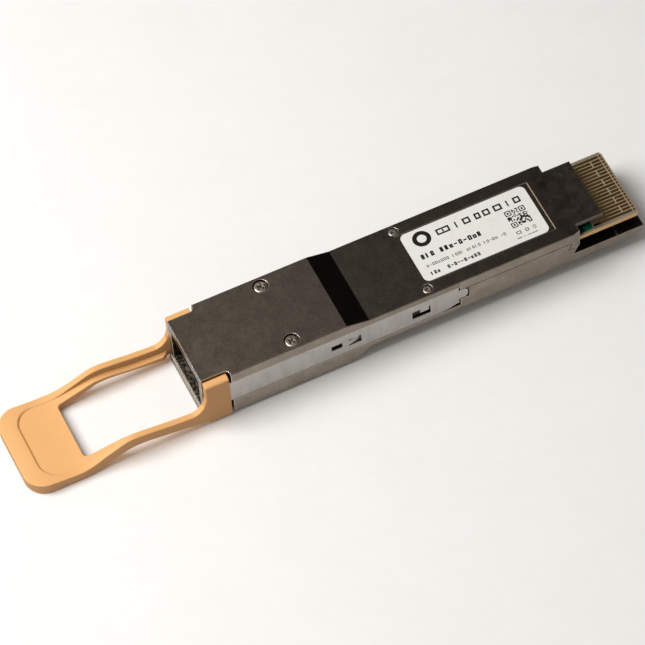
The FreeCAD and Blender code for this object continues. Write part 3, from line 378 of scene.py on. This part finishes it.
# ---------------------------------------------------------------------- card parts
# Moulded chip packages, ceramic capacitors with tinned ends, ferrite inductors and a can oscillator, reflowed
# to both faces of the card, and the two grey gap pads that carry heat to the upper casting.
def speckled(name, low, high, size, roughness, depth, **constants):
    """A finish with two tones in fine speckles of this size, which are also its grain."""
    finish = Finish(name, **constants)
    speck = 0.5 * finish.mottle(size, 4) + 0.5 * finish.mottle(size * 5, 3)
    finish.feed(base_color=finish.mix(speck.ramp(0.32, 0.68), low, high), roughness=roughness + 0.14 * speck,
                normal=finish.relief(finish.mottle(size * 0.6, 3), depth, edge=0.04))
    return finish


dress(speckled("chip_mould", (0.012, 0.012, 0.014), (0.034, 0.034, 0.036),
               size=0.12, roughness=0.42, depth=0.008),
      "signal_processor", "microcontroller", "voltage_regulators", "power_inductors")
dress(speckled("oscillator_can", (0.5, 0.48, 0.44), (0.68, 0.66, 0.62),
               size=0.2, roughness=0.24, depth=0.003, metallic=1.0), "oscillator")
dress(speckled("capacitor_ceramic", (0.25, 0.15, 0.08), (0.36, 0.23, 0.13),
               size=0.1, roughness=0.4, depth=0.004), "capacitors")
dress(speckled("polished_die", (0.05, 0.055, 0.075), (0.11, 0.1, 0.14),
               size=0.3, roughness=0.1, depth=0.001, metallic=0.6),
      "laser_array", "photodiode_array", "laser_driver", "receiver_amplifier")
dress(speckled("gap_pad", (0.2, 0.23, 0.25), (0.32, 0.35, 0.37),
               size=0.08, roughness=0.75, depth=0.02), "optics_thermal_pad", "processor_thermal_pad")

# ---------------------------------------------------------------------- optics
# Amber polyetherimide lens mouldings under a sprung steel bridge, joined by two eight-fibre ribbons to a
# polished sixteen-fibre ferrule with two ground steel pins. A soft boot takes the strain off the fibres
# behind the ferrule.
FIBRES, FIBRE_PITCH, FIBRE_RADIUS, FIBRE_PROUD, FIBRE_SUNK, FIBRE_SIDES = 16, 0.25, 0.0625, 0.01, 0.1, 16
AMBER_DEEP, AMBER_PALE = (0.62, 0.22, 0.03), (0.8, 0.34, 0.06)
AQUA_DEEP, AQUA_PALE = (0.05, 0.36, 0.38), (0.16, 0.56, 0.56)

lens = Finish("amber_lens_moulding", transmission_weight=0.35, ior=1.66, coat_roughness=0.05)
lens.feed(base_color=lens.mix(lens.mottle(0.9), AMBER_DEEP, AMBER_PALE),
          roughness=0.12 + 0.1 * lens.mottle(0.25),
          normal=lens.relief(lens.mottle(0.15), depth=0.004, edge=0.05))
dress(lens, "lens_block_transmit", "lens_block_receive")

ribbon = Finish("ribbon_coating", specular_ior_level=0.5)
strand = ribbon.y.math("SINE", ribbon.y * (2 * math.pi / FIBRE_PITCH)).ramp(-1, 1)
ribbon.feed(base_color=ribbon.mix(strand, AQUA_DEEP, AQUA_PALE), roughness=0.3 + 0.12 * ribbon.mottle(0.4),
            normal=ribbon.relief(strand * 0.8 + 0.2 * ribbon.mottle(0.2), depth=0.03))
dress(ribbon, "fibre_ribbon_transmit", "fibre_ribbon_receive")

dress(speckled("ferrule_resin", (0.028, 0.026, 0.024), (0.075, 0.07, 0.064),
               size=0.06, roughness=0.3, depth=0.003), "mt_ferrule")
dress(speckled("ground_steel", (0.52, 0.51, 0.49), (0.7, 0.69, 0.67),
               size=0.12, roughness=0.16, depth=0.002, metallic=1.0), "guide_pins", "pin_clamp", "lens_clip")
dress(speckled("boot_rubber", (0.016, 0.016, 0.016), (0.04, 0.04, 0.04),
               size=0.1, roughness=0.6, depth=0.01), "ferrule_boot")

# Sixteen polished fibre ends stand a hair proud of the ferrule's face, in one row between the pins.
glass = speckled("fibre_glass", (0.5, 0.56, 0.6), (0.72, 0.78, 0.8),
                 size=0.05, roughness=0.06, depth=0.0005, specular_ior_level=0.6)


def turns(steps):
    """Angles in even steps round a circle."""
    return [2 * math.pi * k / steps for k in range(steps)]


ferrule_low, ferrule_high = (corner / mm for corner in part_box("mt_ferrule"))
row_height = (ferrule_low.z + ferrule_high.z) / 2
shape = bmesh.new()
for place in range(FIBRES):
    across = (place - (FIBRES - 1) / 2) * FIBRE_PITCH
    loops = [[shape.verts.new((ferrule_low.x + depth, across + radius * math.cos(turn),
                               row_height + radius * math.sin(turn))) for turn in turns(FIBRE_SIDES)]
             for depth, radius in ((FIBRE_SUNK, FIBRE_RADIUS), (-0.5 * FIBRE_PROUD, FIBRE_RADIUS),
                                   (-FIBRE_PROUD, 0.8 * FIBRE_RADIUS))]
    for low, high in zip(loops, loops[1:]):
        wall(shape, low, high)
    shape.faces.new(loops[0])
    shape.faces.new(loops[-1])
solid_piece("fibre_ends", shape, glass, "shell")

# ---------------------------------------------------------------------- port
# The carrier that guides the fibre plug, and its two sprung hooks, are glass-filled black nylon. The carrier
# shows short pale fibres and flow marks; the hooks are glossy, from polished steel in the mould.
NYLON_BLACK, NYLON_FIBRE = (0.008, 0.008, 0.008), (0.075, 0.064, 0.052)

nylon = Finish("glass_filled_nylon", specular_ior_level=0.6)
flow = nylon.mottle(0.5, 5, (3, 1, 1))
nylon.feed(base_color=nylon.mix(flow.ramp(0.4, 0.75), NYLON_BLACK, NYLON_FIBRE), roughness=0.26 + 0.2 * flow,
           normal=nylon.relief(0.5 * flow + 0.5 * nylon.mottle(0.12, 3), depth=0.02, edge=0.08))
dress(nylon, "mpo_receptacle")
dress(speckled("hook_nylon", (0.004, 0.004, 0.005), (0.02, 0.018, 0.016),
               size=0.3, roughness=0.1, depth=0.008, specular_ior_level=0.6),
      "mpo_hook_left", "mpo_hook_right")

# ---------------------------------------------------------------------- upper casting
# The upper half is the same plated casting. Its nose is left satin, with a warm painted shade on its top;
# from the ramp back, the face that meets the heat sink is milled and lapped smoother and carries painted
# shade, and the thin tongue over the card keeps the rough skin of the mould.
dress(plated_casting("satin_nickel_upper"), "top_housing")

# ---------------------------------------------------------------------- screws
# Two pan-head and two small flat machine screws of nickel-plated steel, each with a cross recess punched by a
# tapered tool, and a thread that holds the halves together. Their crowns are burnished by the driver.
SCREW_DULL, SCREW_BRIGHT, SCREW_SHADE = (0.45, 0.4, 0.33), (0.68, 0.62, 0.53), (0.03, 0.025, 0.02)
THREAD_PITCH, THREAD_ROOT, THREAD_RUNOUT, SHANK_SHARE, SHANK_TIP = 0.25, 0.86, 0.4, 0.5, 0.8
CROSS_REACH, CROSS_HALF_WIDTH, CROSS_DEPTH, CROSS_TAPER, CROSS_ABOVE = 0.7, 0.17, 0.75, 0.55, 0.3
# From the head's rim to its crown: shares of its radius, and of the crown's height, down from the top.
CROWN = ((1, 1.2), (0.965, 0.7), (0.86, 0.25), (0.6, 0.05), (0, 0))
RIM_SHARE, RIM_HEIGHT = 0.96, 0.08
SWARF, CORNER_WIDTH, CORNER_SWARF, CORNER_ANGLE = 0.004, 0.03, 0.0005, 40

screw_steel = Finish("screw_plating", metallic=1.0)
bloom = screw_steel.mottle(0.5, 4)
screw_steel.feed(
    base_color=screw_steel.mix(screw_steel.hollow(0.7),
                               screw_steel.mix(bloom.ramp(0.3, 0.7), SCREW_DULL, SCREW_BRIGHT), SCREW_SHADE),
    roughness=0.2 + 0.16 * bloom,
    normal=screw_steel.relief(screw_steel.mottle(0.1, 3), depth=0.003, edge=0.05))


def turned(shape, centre, profile, steps=48):
    """A closed body of revolution about an upright axis, from (radius, height) points that start and end
    on it."""
    rows = [[shape.verts.new((centre[0] + radius * math.cos(turn), centre[1] + radius * math.sin(turn),
                              height)) for turn in (turns(steps) if radius else [0])]
            for radius, height in profile]
    for low, high in zip(rows, rows[1:]):
        for k in range(steps):
            corners = (low[k % len(low)], low[(k + 1) % len(low)], high[(k + 1) % len(high)],
                       high[k % len(high)])
            shape.faces.new(list(dict.fromkeys(corners)))


def tapered_cross(shape, centre, reach, half_width, bottom, top):
    """The driver's punch: two crossed blades that narrow downwards."""
    for turn in (math.pi / 4, 3 * math.pi / 4):
        low, high = ([shape.verts.new((centre[0] + share * (u * math.cos(turn) - v * math.sin(turn)),
                                       centre[1] + share * (u * math.sin(turn) + v * math.cos(turn)), height))
                      for u, v in ((-reach, -half_width), (reach, -half_width),
                                   (reach, half_width), (-reach, half_width))]
                     for height, share in ((bottom, CROSS_TAPER), (top, 1)))
        shape.faces.new(low)
        shape.faces.new(high)
        wall(shape, low, high)


def weld(mesh, gap):
    """Joins the corners of a mesh that lie within a gap, and drops the slivers between them."""
    joined = bmesh.new()
    joined.from_mesh(mesh)
    bmesh.ops.remove_doubles(joined, verts=joined.verts, dist=gap * mm)
    bmesh.ops.dissolve_degenerate(joined, edges=joined.edges, dist=gap * mm)
    joined.to_mesh(mesh)
    joined.free()


def settle(piece):
    """Applies a piece's modifiers to its mesh."""
    graph = bpy.context.evaluated_depsgraph_get()
    mesh = bpy.data.meshes.new_from_object(piece.evaluated_get(graph))
    piece.modifiers.clear()
    piece.data = mesh


def screw_pair(node, head_radius, head_height, crown):
    """Both screws of a pair as one piece: crowned head, punched cross and threaded shank."""
    low, high = (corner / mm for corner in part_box(node))
    seat, spread, across = high.z - head_height, high.y - head_radius, (low.x + high.x) / 2
    shank_radius = head_radius * SHANK_SHARE
    profile, height = [(0, low.z), (shank_radius * SHANK_TIP, low.z)], low.z
    while height < seat - THREAD_RUNOUT:
        profile += [(shank_radius, height), (shank_radius * THREAD_ROOT, height + THREAD_PITCH / 2)]
        height += THREAD_PITCH
    profile += [(shank_radius * THREAD_ROOT, seat), (head_radius * RIM_SHARE, seat),
                (head_radius, seat + RIM_HEIGHT)]
    profile += [(head_radius * share, high.z - crown * drop) for share, drop in CROWN]
    shape, punch = bmesh.new(), bmesh.new()
    for side in (-1, 1):
        turned(shape, (across, side * spread), profile)
        tapered_cross(punch, (across, side * spread), head_radius * CROSS_REACH,
                      head_radius * CROSS_HALF_WIDTH, high.z - head_height * CROSS_DEPTH,
                      high.z + CROSS_ABOVE)
    pair = solid_piece(node.replace("screws", "screw_pair"), shape, screw_steel, "shell")
    tool = solid_piece("punch", punch, screw_steel)
    cut = pair.modifiers.new("cross", "BOOLEAN")
    cut.operation, cut.solver, cut.object, cut.use_self = "DIFFERENCE", "EXACT", tool, True
    settle(pair)
    weld(pair.data, SWARF)
    bpy.data.objects.remove(tool)
    smooth = pair.modifiers.new("corners", "BEVEL")
    smooth.width, smooth.segments = CORNER_WIDTH * mm, 2
    smooth.limit_method, smooth.angle_limit = "ANGLE", math.radians(CORNER_ANGLE)
    settle(pair)
    weld(pair.data, CORNER_SWARF)
    pair.data.shade_smooth()
    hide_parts(node)


screw_pair("nose_screws", head_radius=1.38, head_height=0.7, crown=0.16)
screw_pair("rear_screws", head_radius=0.92, head_height=0.4, crown=0.1)

# ---------------------------------------------------------------------- latch arms
# Each arm is blanked and lanced from 0.3 mm full-hard stainless strip. Rolling leaves fine lengthways lines,
# tumbling clouds them, and the blanked edges are bright.
STRIP_DULL, STRIP_PALE, STRIP_EDGE = (0.37, 0.35, 0.325), (0.5, 0.475, 0.45), (0.82, 0.81, 0.79)

strip = Finish("rolled_stainless", metallic=1.0)
rolled, cloud = strip.mottle(0.09, 3, (14, 1, 1)), strip.mottle(1.6, 4, (1, 1, 2.5))
upright = strip.mottle(0.35, 3, (1, 1, 9))
tone = (0.3 * rolled + 0.4 * cloud + 0.3 * upright).ramp(0.36, 0.64)
strip.feed(base_color=strip.mix(strip.worn(0.07), strip.mix(tone, STRIP_DULL, STRIP_PALE), STRIP_EDGE),
           roughness=0.3 + 0.1 * rolled + 0.06 * cloud,
           normal=strip.relief(rolled * 0.6 + upright * 0.4, depth=0.003, edge=0.05))
dress(strip, "latch_arm_left", "latch_arm_right")

# ---------------------------------------------------------------------- return springs
# Nine turns of 0.16 mm music wire in each side pocket, with closed and ground ends. In the real part they
# shorten as the tab is pulled; here each coil is one fixed mesh on the shell.
SPRING_START, SPRING_END, SPRING_SIDE, SPRING_HEIGHT = -12.5, -6.3, 8.03, 4.2
COIL_RADIUS, WIRE_RADIUS, TURNS, STEPS, SIDES = 0.44, 0.08, 9, 20, 8
CLOSED_TURNS, CLOSING = 1.5, 0.05

wire = speckled("spring_wire", (0.4, 0.38, 0.35), (0.6, 0.58, 0.55),
                size=0.1, roughness=0.2, depth=0.002, metallic=1.0)
for side, word in ((1, "left"), (-1, "right")):
    shape, rows = bmesh.new(), []
    length = SPRING_END - SPRING_START - 2 * WIRE_RADIUS
    for step in range(TURNS * STEPS + 1):
        share = step / (TURNS * STEPS)
        turn = side * 2 * math.pi * TURNS * share
        still_open = min(1.0, share * TURNS / CLOSED_TURNS, (1 - share) * TURNS / CLOSED_TURNS)
        along = share + (1 - still_open) * CLOSING * (-1 if share < 0.5 else 1)
        centre = Vector((SPRING_START + WIRE_RADIUS + length * min(max(along, 0), 1),
                         side * SPRING_SIDE + COIL_RADIUS * math.cos(turn),
                         SPRING_HEIGHT + COIL_RADIUS * math.sin(turn)))
        outward, lengthways = Vector((0, math.cos(turn), math.sin(turn))), Vector((1, 0, 0))
        rows.append([shape.verts.new(centre + WIRE_RADIUS * (math.cos(around) * outward
                                                             + math.sin(around) * lengthways))
                     for around in turns(SIDES)])
    for low, high in zip(rows, rows[1:]):
        wall(shape, low, high)
    shape.faces.new(rows[0])
    shape.faces.new(rows[-1])
    coil = solid_piece("coil_spring_" + word, shape, wire, "shell")
    coil.data.shade_smooth()
    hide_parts("return_spring_" + word)
    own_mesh(coil)

# ---------------------------------------------------------------------- pull tab
# A matt thermoplastic elastomer, moulded over the ends of both latch arms in one shot. Every corner is softly
# rounded by the tool, and the skin has a fine spark-eroded texture.
TAB_GRID, TAB_ROUNDING, TAB_WELD = 0.13, 7, 0.002
BEIGE, BEIGE_PALE = (0.8, 0.42, 0.16), (0.88, 0.485, 0.195)
BEIGE_SIDE_SHADE, BEIGE_CREASE_SHADE = (0.42, 0.215, 0.085), (0.3, 0.13, 0.04)

rubber = Finish("beige_elastomer", specular_ior_level=0.35)
skin, blotch = rubber.mottle(0.14, 3), rubber.mottle(6.0, 3)
# Painted shade on the tab's upright faces.
side_shade = 1 - abs(rubber.rise("Normal")).ramp(0.1, 0.75)
colour = rubber.mix(0.45 * skin + 0.55 * blotch, BEIGE, BEIGE_PALE)
colour = rubber.mix(0.8 * side_shade, colour, BEIGE_SIDE_SHADE)
# Painted shade in the creases.
rubber.feed(base_color=rubber.mix(rubber.hollow(0.45), colour, BEIGE_CREASE_SHADE), roughness=0.52 + 0.16 * skin,
            normal=rubber.relief(skin, depth=0.022))

tab = nodes["pull_tab"].copy()
tab.name, tab.data = "moulded_tab", nodes["pull_tab"].data.copy()
for key in list(tab.keys()):
    if key.startswith("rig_"):
        del tab[key]
tab.parent = None
bpy.context.scene.collection.objects.link(tab)
weld(tab.data, TAB_WELD)
grid = tab.modifiers.new("grid", "REMESH")
grid.mode, grid.voxel_size = "VOXEL", TAB_GRID * mm
soften = tab.modifiers.new("soften", "SMOOTH")
soften.factor, soften.iterations = 0.5, TAB_ROUNDING
settle(tab)
tab.data.materials.clear()
tab.data.materials.append(rubber.material)
tab.data.shade_smooth()
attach(tab, "latch")
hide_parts("pull_tab")

# ---------------------------------------------------------------------- label
# White polyester film, laser cut with round corners and pressed into the recess. The print is black resin,
# and has only plain shapes: a ring, boxes and bars where words would stand, and a scatter of square dots
# between three corner squares.
dress(speckled("polyester_film", (0.8, 0.785, 0.76), (0.86, 0.85, 0.83),
               size=0.3, roughness=0.34, depth=0.002), "label")
ink = speckled("black_ink", (0.006, 0.0055, 0.005), (0.018, 0.017, 0.016),
               size=0.1, roughness=0.6, depth=0.002, specular_ior_level=0.15)

INK_THICKNESS = 0.012
label_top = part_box("label")[1].z / mm
marks = random.Random(7)
shape = bmesh.new()


def bar(low_x, high_x, low_y, high_y):
    """One printed rectangle."""
    prism(shape, ((low_x, low_y), (high_x, low_y), (high_x, high_y), (low_x, high_y)),
          label_top, label_top + INK_THICKNESS)


def outline(outer, inner):
    """A printed line between two loops of (x, y) corners, each with as many corners as the other."""
    loops = [[shape.verts.new((x, y, label_top + rise)) for x, y in corners] for corners, rise in (
        (outer, 0), (outer, INK_THICKNESS), (inner, INK_THICKNESS), (inner, 0))]
    for first, second in zip(loops, loops[1:] + loops[:1]):
        wall(shape, first, second)


def ring(centre_x, centre_y, outer, inner, steps=48):
    """One printed ring."""
    outline(*([(centre_x + radius * math.cos(turn), centre_y + radius * math.sin(turn))
               for turn in turns(steps)] for radius in (outer, inner)))


def box_frame(low_x, high_x, low_y, high_y, stroke):
    """The outline of a printed rectangle."""
    outline(*([(low_x + inset, low_y + inset), (high_x - inset, low_y + inset),
               (high_x - inset, high_y - inset), (low_x + inset, high_y - inset)] for inset in (0, stroke)))


# Of the marks in a line of text, the share that are boxes, with the low ones first, and boxes or uprights.
LOW_BOXES, BOXES, BOXES_AND_UPRIGHTS = 0.2, 0.6, 0.8
LEAST_WIDTH, WIDTH_SPREAD, LOWERED, UPRIGHT_WIDTH = 0.62, 0.14, 0.22, 1.2


def word_line(low_x, high_x, low_y, high_y, pitch, stroke, gaps):
    """A line of small boxes, uprights and dashes where words would stand, with spaces at the given places."""
    for place in range(int((high_x - low_x) / pitch)):
        x, kind = low_x + place * pitch, marks.random()
        if place in gaps:
            continue
        width = pitch * (LEAST_WIDTH + WIDTH_SPREAD * marks.random())
        if kind < BOXES:
            top = high_y - (high_y - low_y) * LOWERED * (kind < LOW_BOXES)
            box_frame(x, x + width, low_y, top, stroke)
        elif kind < BOXES_AND_UPRIGHTS:
            bar(x, x + stroke * UPRIGHT_WIDTH, low_y, high_y)
        else:
            bar(x, x + width, (low_y + high_y - stroke) / 2, (low_y + high_y + stroke) / 2)


# The heading: a ring, then boxes and uprights, each from one place along the label to another.
HEADING_LOW, HEADING_HIGH, HEADING_STROKE, NARROW = 2.78, 4.25, 0.36, 0.5

ring(centre_x=16.85, centre_y=3.55, outer=1.85, inner=0.95)
for start, end in ((19.95, 22.75), (24.0, 24.3), (25.6, 27.15), (28.15, 29.35), (29.9, 31.35),
                   (32.2, 33.9), (35.0, 35.3), (36.45, 37.9)):
    if end - start < NARROW:
        bar(start, end, HEADING_LOW, HEADING_HIGH)
    else:
        box_frame(start, end, HEADING_LOW, HEADING_HIGH, HEADING_STROKE)
bar(low_x=21.2, high_x=21.5, low_y=3.2, high_y=3.83)

# Three lines of text below it, and one under the code.
word_line(14.8, 27.9, -1.02, 0.12, pitch=1.0, stroke=0.31, gaps=(3,))
word_line(14.85, 32.5, -3.1, -2.45, pitch=0.61, stroke=0.11, gaps=(8, 13, 19, 25))
word_line(14.85, 25.6, -5.1, -4.28, pitch=0.71, stroke=0.21, gaps=(3, 4))
word_line(33.2, 37.9, -5.12, -4.85, pitch=0.27, stroke=0.08, gaps=(4, 7))

# Three small outlines between the code and that last line.
box_frame(33.6, 34.6, -4.1, -3.4, stroke=0.14)
ring(centre_x=35.85, centre_y=-3.75, outer=0.4, inner=0.24, steps=24)
box_frame(37.15, 37.7, -4.2, -3.4, stroke=0.1)

# The dots are drawn at random and mean nothing. The corner squares are a frame round a solid heart.
CELL, CELLS, CODE_X, CODE_Y, DOT, DARK_SHARE = 0.25, 17, 33.55, -2.4, 0.96, 0.52
CORNER, CORNER_STROKE, HEART_LOW, HEART_HIGH = 5, 0.8, 1.7, 3.3

FAR_CORNER = CELLS - CORNER
for column in range(CELLS):
    for row in range(CELLS):
        in_corner = (column <= CORNER or (column >= FAR_CORNER - 1 and row >= FAR_CORNER - 1)) and (
            row <= CORNER or row >= FAR_CORNER - 1)
        if marks.random() < DARK_SHARE and not in_corner:
            bar(CODE_X + column * CELL, CODE_X + (column + DOT) * CELL,
                CODE_Y + row * CELL, CODE_Y + (row + DOT) * CELL)
for column, row in ((0, 0), (0, FAR_CORNER), (FAR_CORNER, FAR_CORNER)):
    x, y = CODE_X + column * CELL, CODE_Y + row * CELL
    box_frame(x, x + CORNER * CELL, y, y + CORNER * CELL, CORNER_STROKE * CELL)
    bar(x + HEART_LOW * CELL, x + HEART_HIGH * CELL, y + HEART_LOW * CELL, y + HEART_HIGH * CELL)
solid_piece("label_print", shape, ink, "shell")

# ---------------------------------------------------------------------- studio
# A pale floor under the part, one large soft light high on the plug's side, and a dim, slightly warm room.
# The room is dark beyond the tail's far side, as metal is lit to show its own tone.
FLOOR_HALF, FLOOR_GAP = 900, 0.02
AIM = Vector((11, 0, 4))
KEY_DIRECTION, KEY_DISTANCE = Vector((-0.58, 0.16, 0.8)).normalized(), 540
KEY_SIZE, KEY_POWER, KEY_COLOUR = 380, 3.05, (1.0, 0.985, 0.96)
DARK_SIDE, DARK_START, DARK_FULL = Vector((0.65, 0.48, 0.59)).normalized(), 0.82, 0.935
ROOM_COLOUR, ROOM_DARK, ROOM_GLOW = (1.0, 0.95, 0.89, 1), 0.004, 0.3

floor_level = cad_box[0][2] / mm - FLOOR_GAP
shape = bmesh.new()
shape.faces.new([shape.verts.new((x * FLOOR_HALF, y * FLOOR_HALF, floor_level))
                 for x, y in ((-1, -1), (1, -1), (1, 1), (-1, 1))])
card_stock = speckled("pale_floor", (0.91, 0.91, 0.91), (0.94, 0.94, 0.94),
                      size=3.0, roughness=0.7, depth=0.002)
solid_piece("floor", shape, card_stock)

lamp = bpy.data.lights.new("key", "AREA")
lamp.size, lamp.energy, lamp.color = KEY_SIZE * mm, KEY_POWER, KEY_COLOUR
soft_box = bpy.data.objects.new("key", lamp)
soft_box.location = (AIM + KEY_DISTANCE * KEY_DIRECTION) * mm
soft_box.rotation_euler = KEY_DIRECTION.to_track_quat("Z", "Y").to_euler()
bpy.context.scene.collection.objects.link(soft_box)


class Room(Finish):
    """The same way of making nodes, for the room's light."""

    def __init__(self, world):
        world.use_nodes = True
        self.tree = world.node_tree
        self.tree.nodes.clear()


bpy.context.scene.world = bpy.data.worlds.new("room")
room = Room(bpy.context.scene.world)
facing = room.node("VectorMath", {"operation": "DOT_PRODUCT"}, {
    0: room.node("TexCoord", {}, {}, "Generated"), 1: DARK_SIDE}, 1)
glow = ROOM_DARK + ROOM_GLOW * (1 - facing.ramp(DARK_START, DARK_FULL))
room.node("OutputWorld", {}, {"Surface": room.node("Background", {}, {
    "Color": ROOM_COLOUR, "Strength": glow})})

# The camera stands off from the part along its view, and the part lies a little up and aside in the frame.
AZIMUTH, ELEVATION, ROLL, DISTANCE, ASIDE, ABOVE = -21.138, 54.945, -5.101, 833.5, 15.519, 8.761
LENS, SENSOR, CLIP_START = 241.93, 36, 0.01

turn, lift, roll = (math.radians(angle) for angle in (AZIMUTH, ELEVATION, ROLL))
back = Vector((math.sin(turn) * math.cos(lift), -math.cos(turn) * math.cos(lift), math.sin(lift)))
level = (-back).cross(Vector((0, 0, 1))).normalized()
over = level.cross(-back)
right = math.cos(roll) * level + math.sin(roll) * over
up = math.cos(roll) * over - math.sin(roll) * level
camera = bpy.data.objects.new("camera", bpy.data.cameras.new("camera"))
camera.data.lens, camera.data.sensor_width, camera.data.clip_start = LENS, SENSOR, CLIP_START
spot = (AIM - ASIDE * right - ABOVE * up + DISTANCE * back) * mm
camera.matrix_world = Matrix.Translation(spot) @ Matrix((right, up, back)).transposed().to_4x4()
bpy.context.scene.collection.objects.link(camera)
bpy.context.scene.camera = camera
bpy.context.scene.view_settings.view_transform = "Standard"
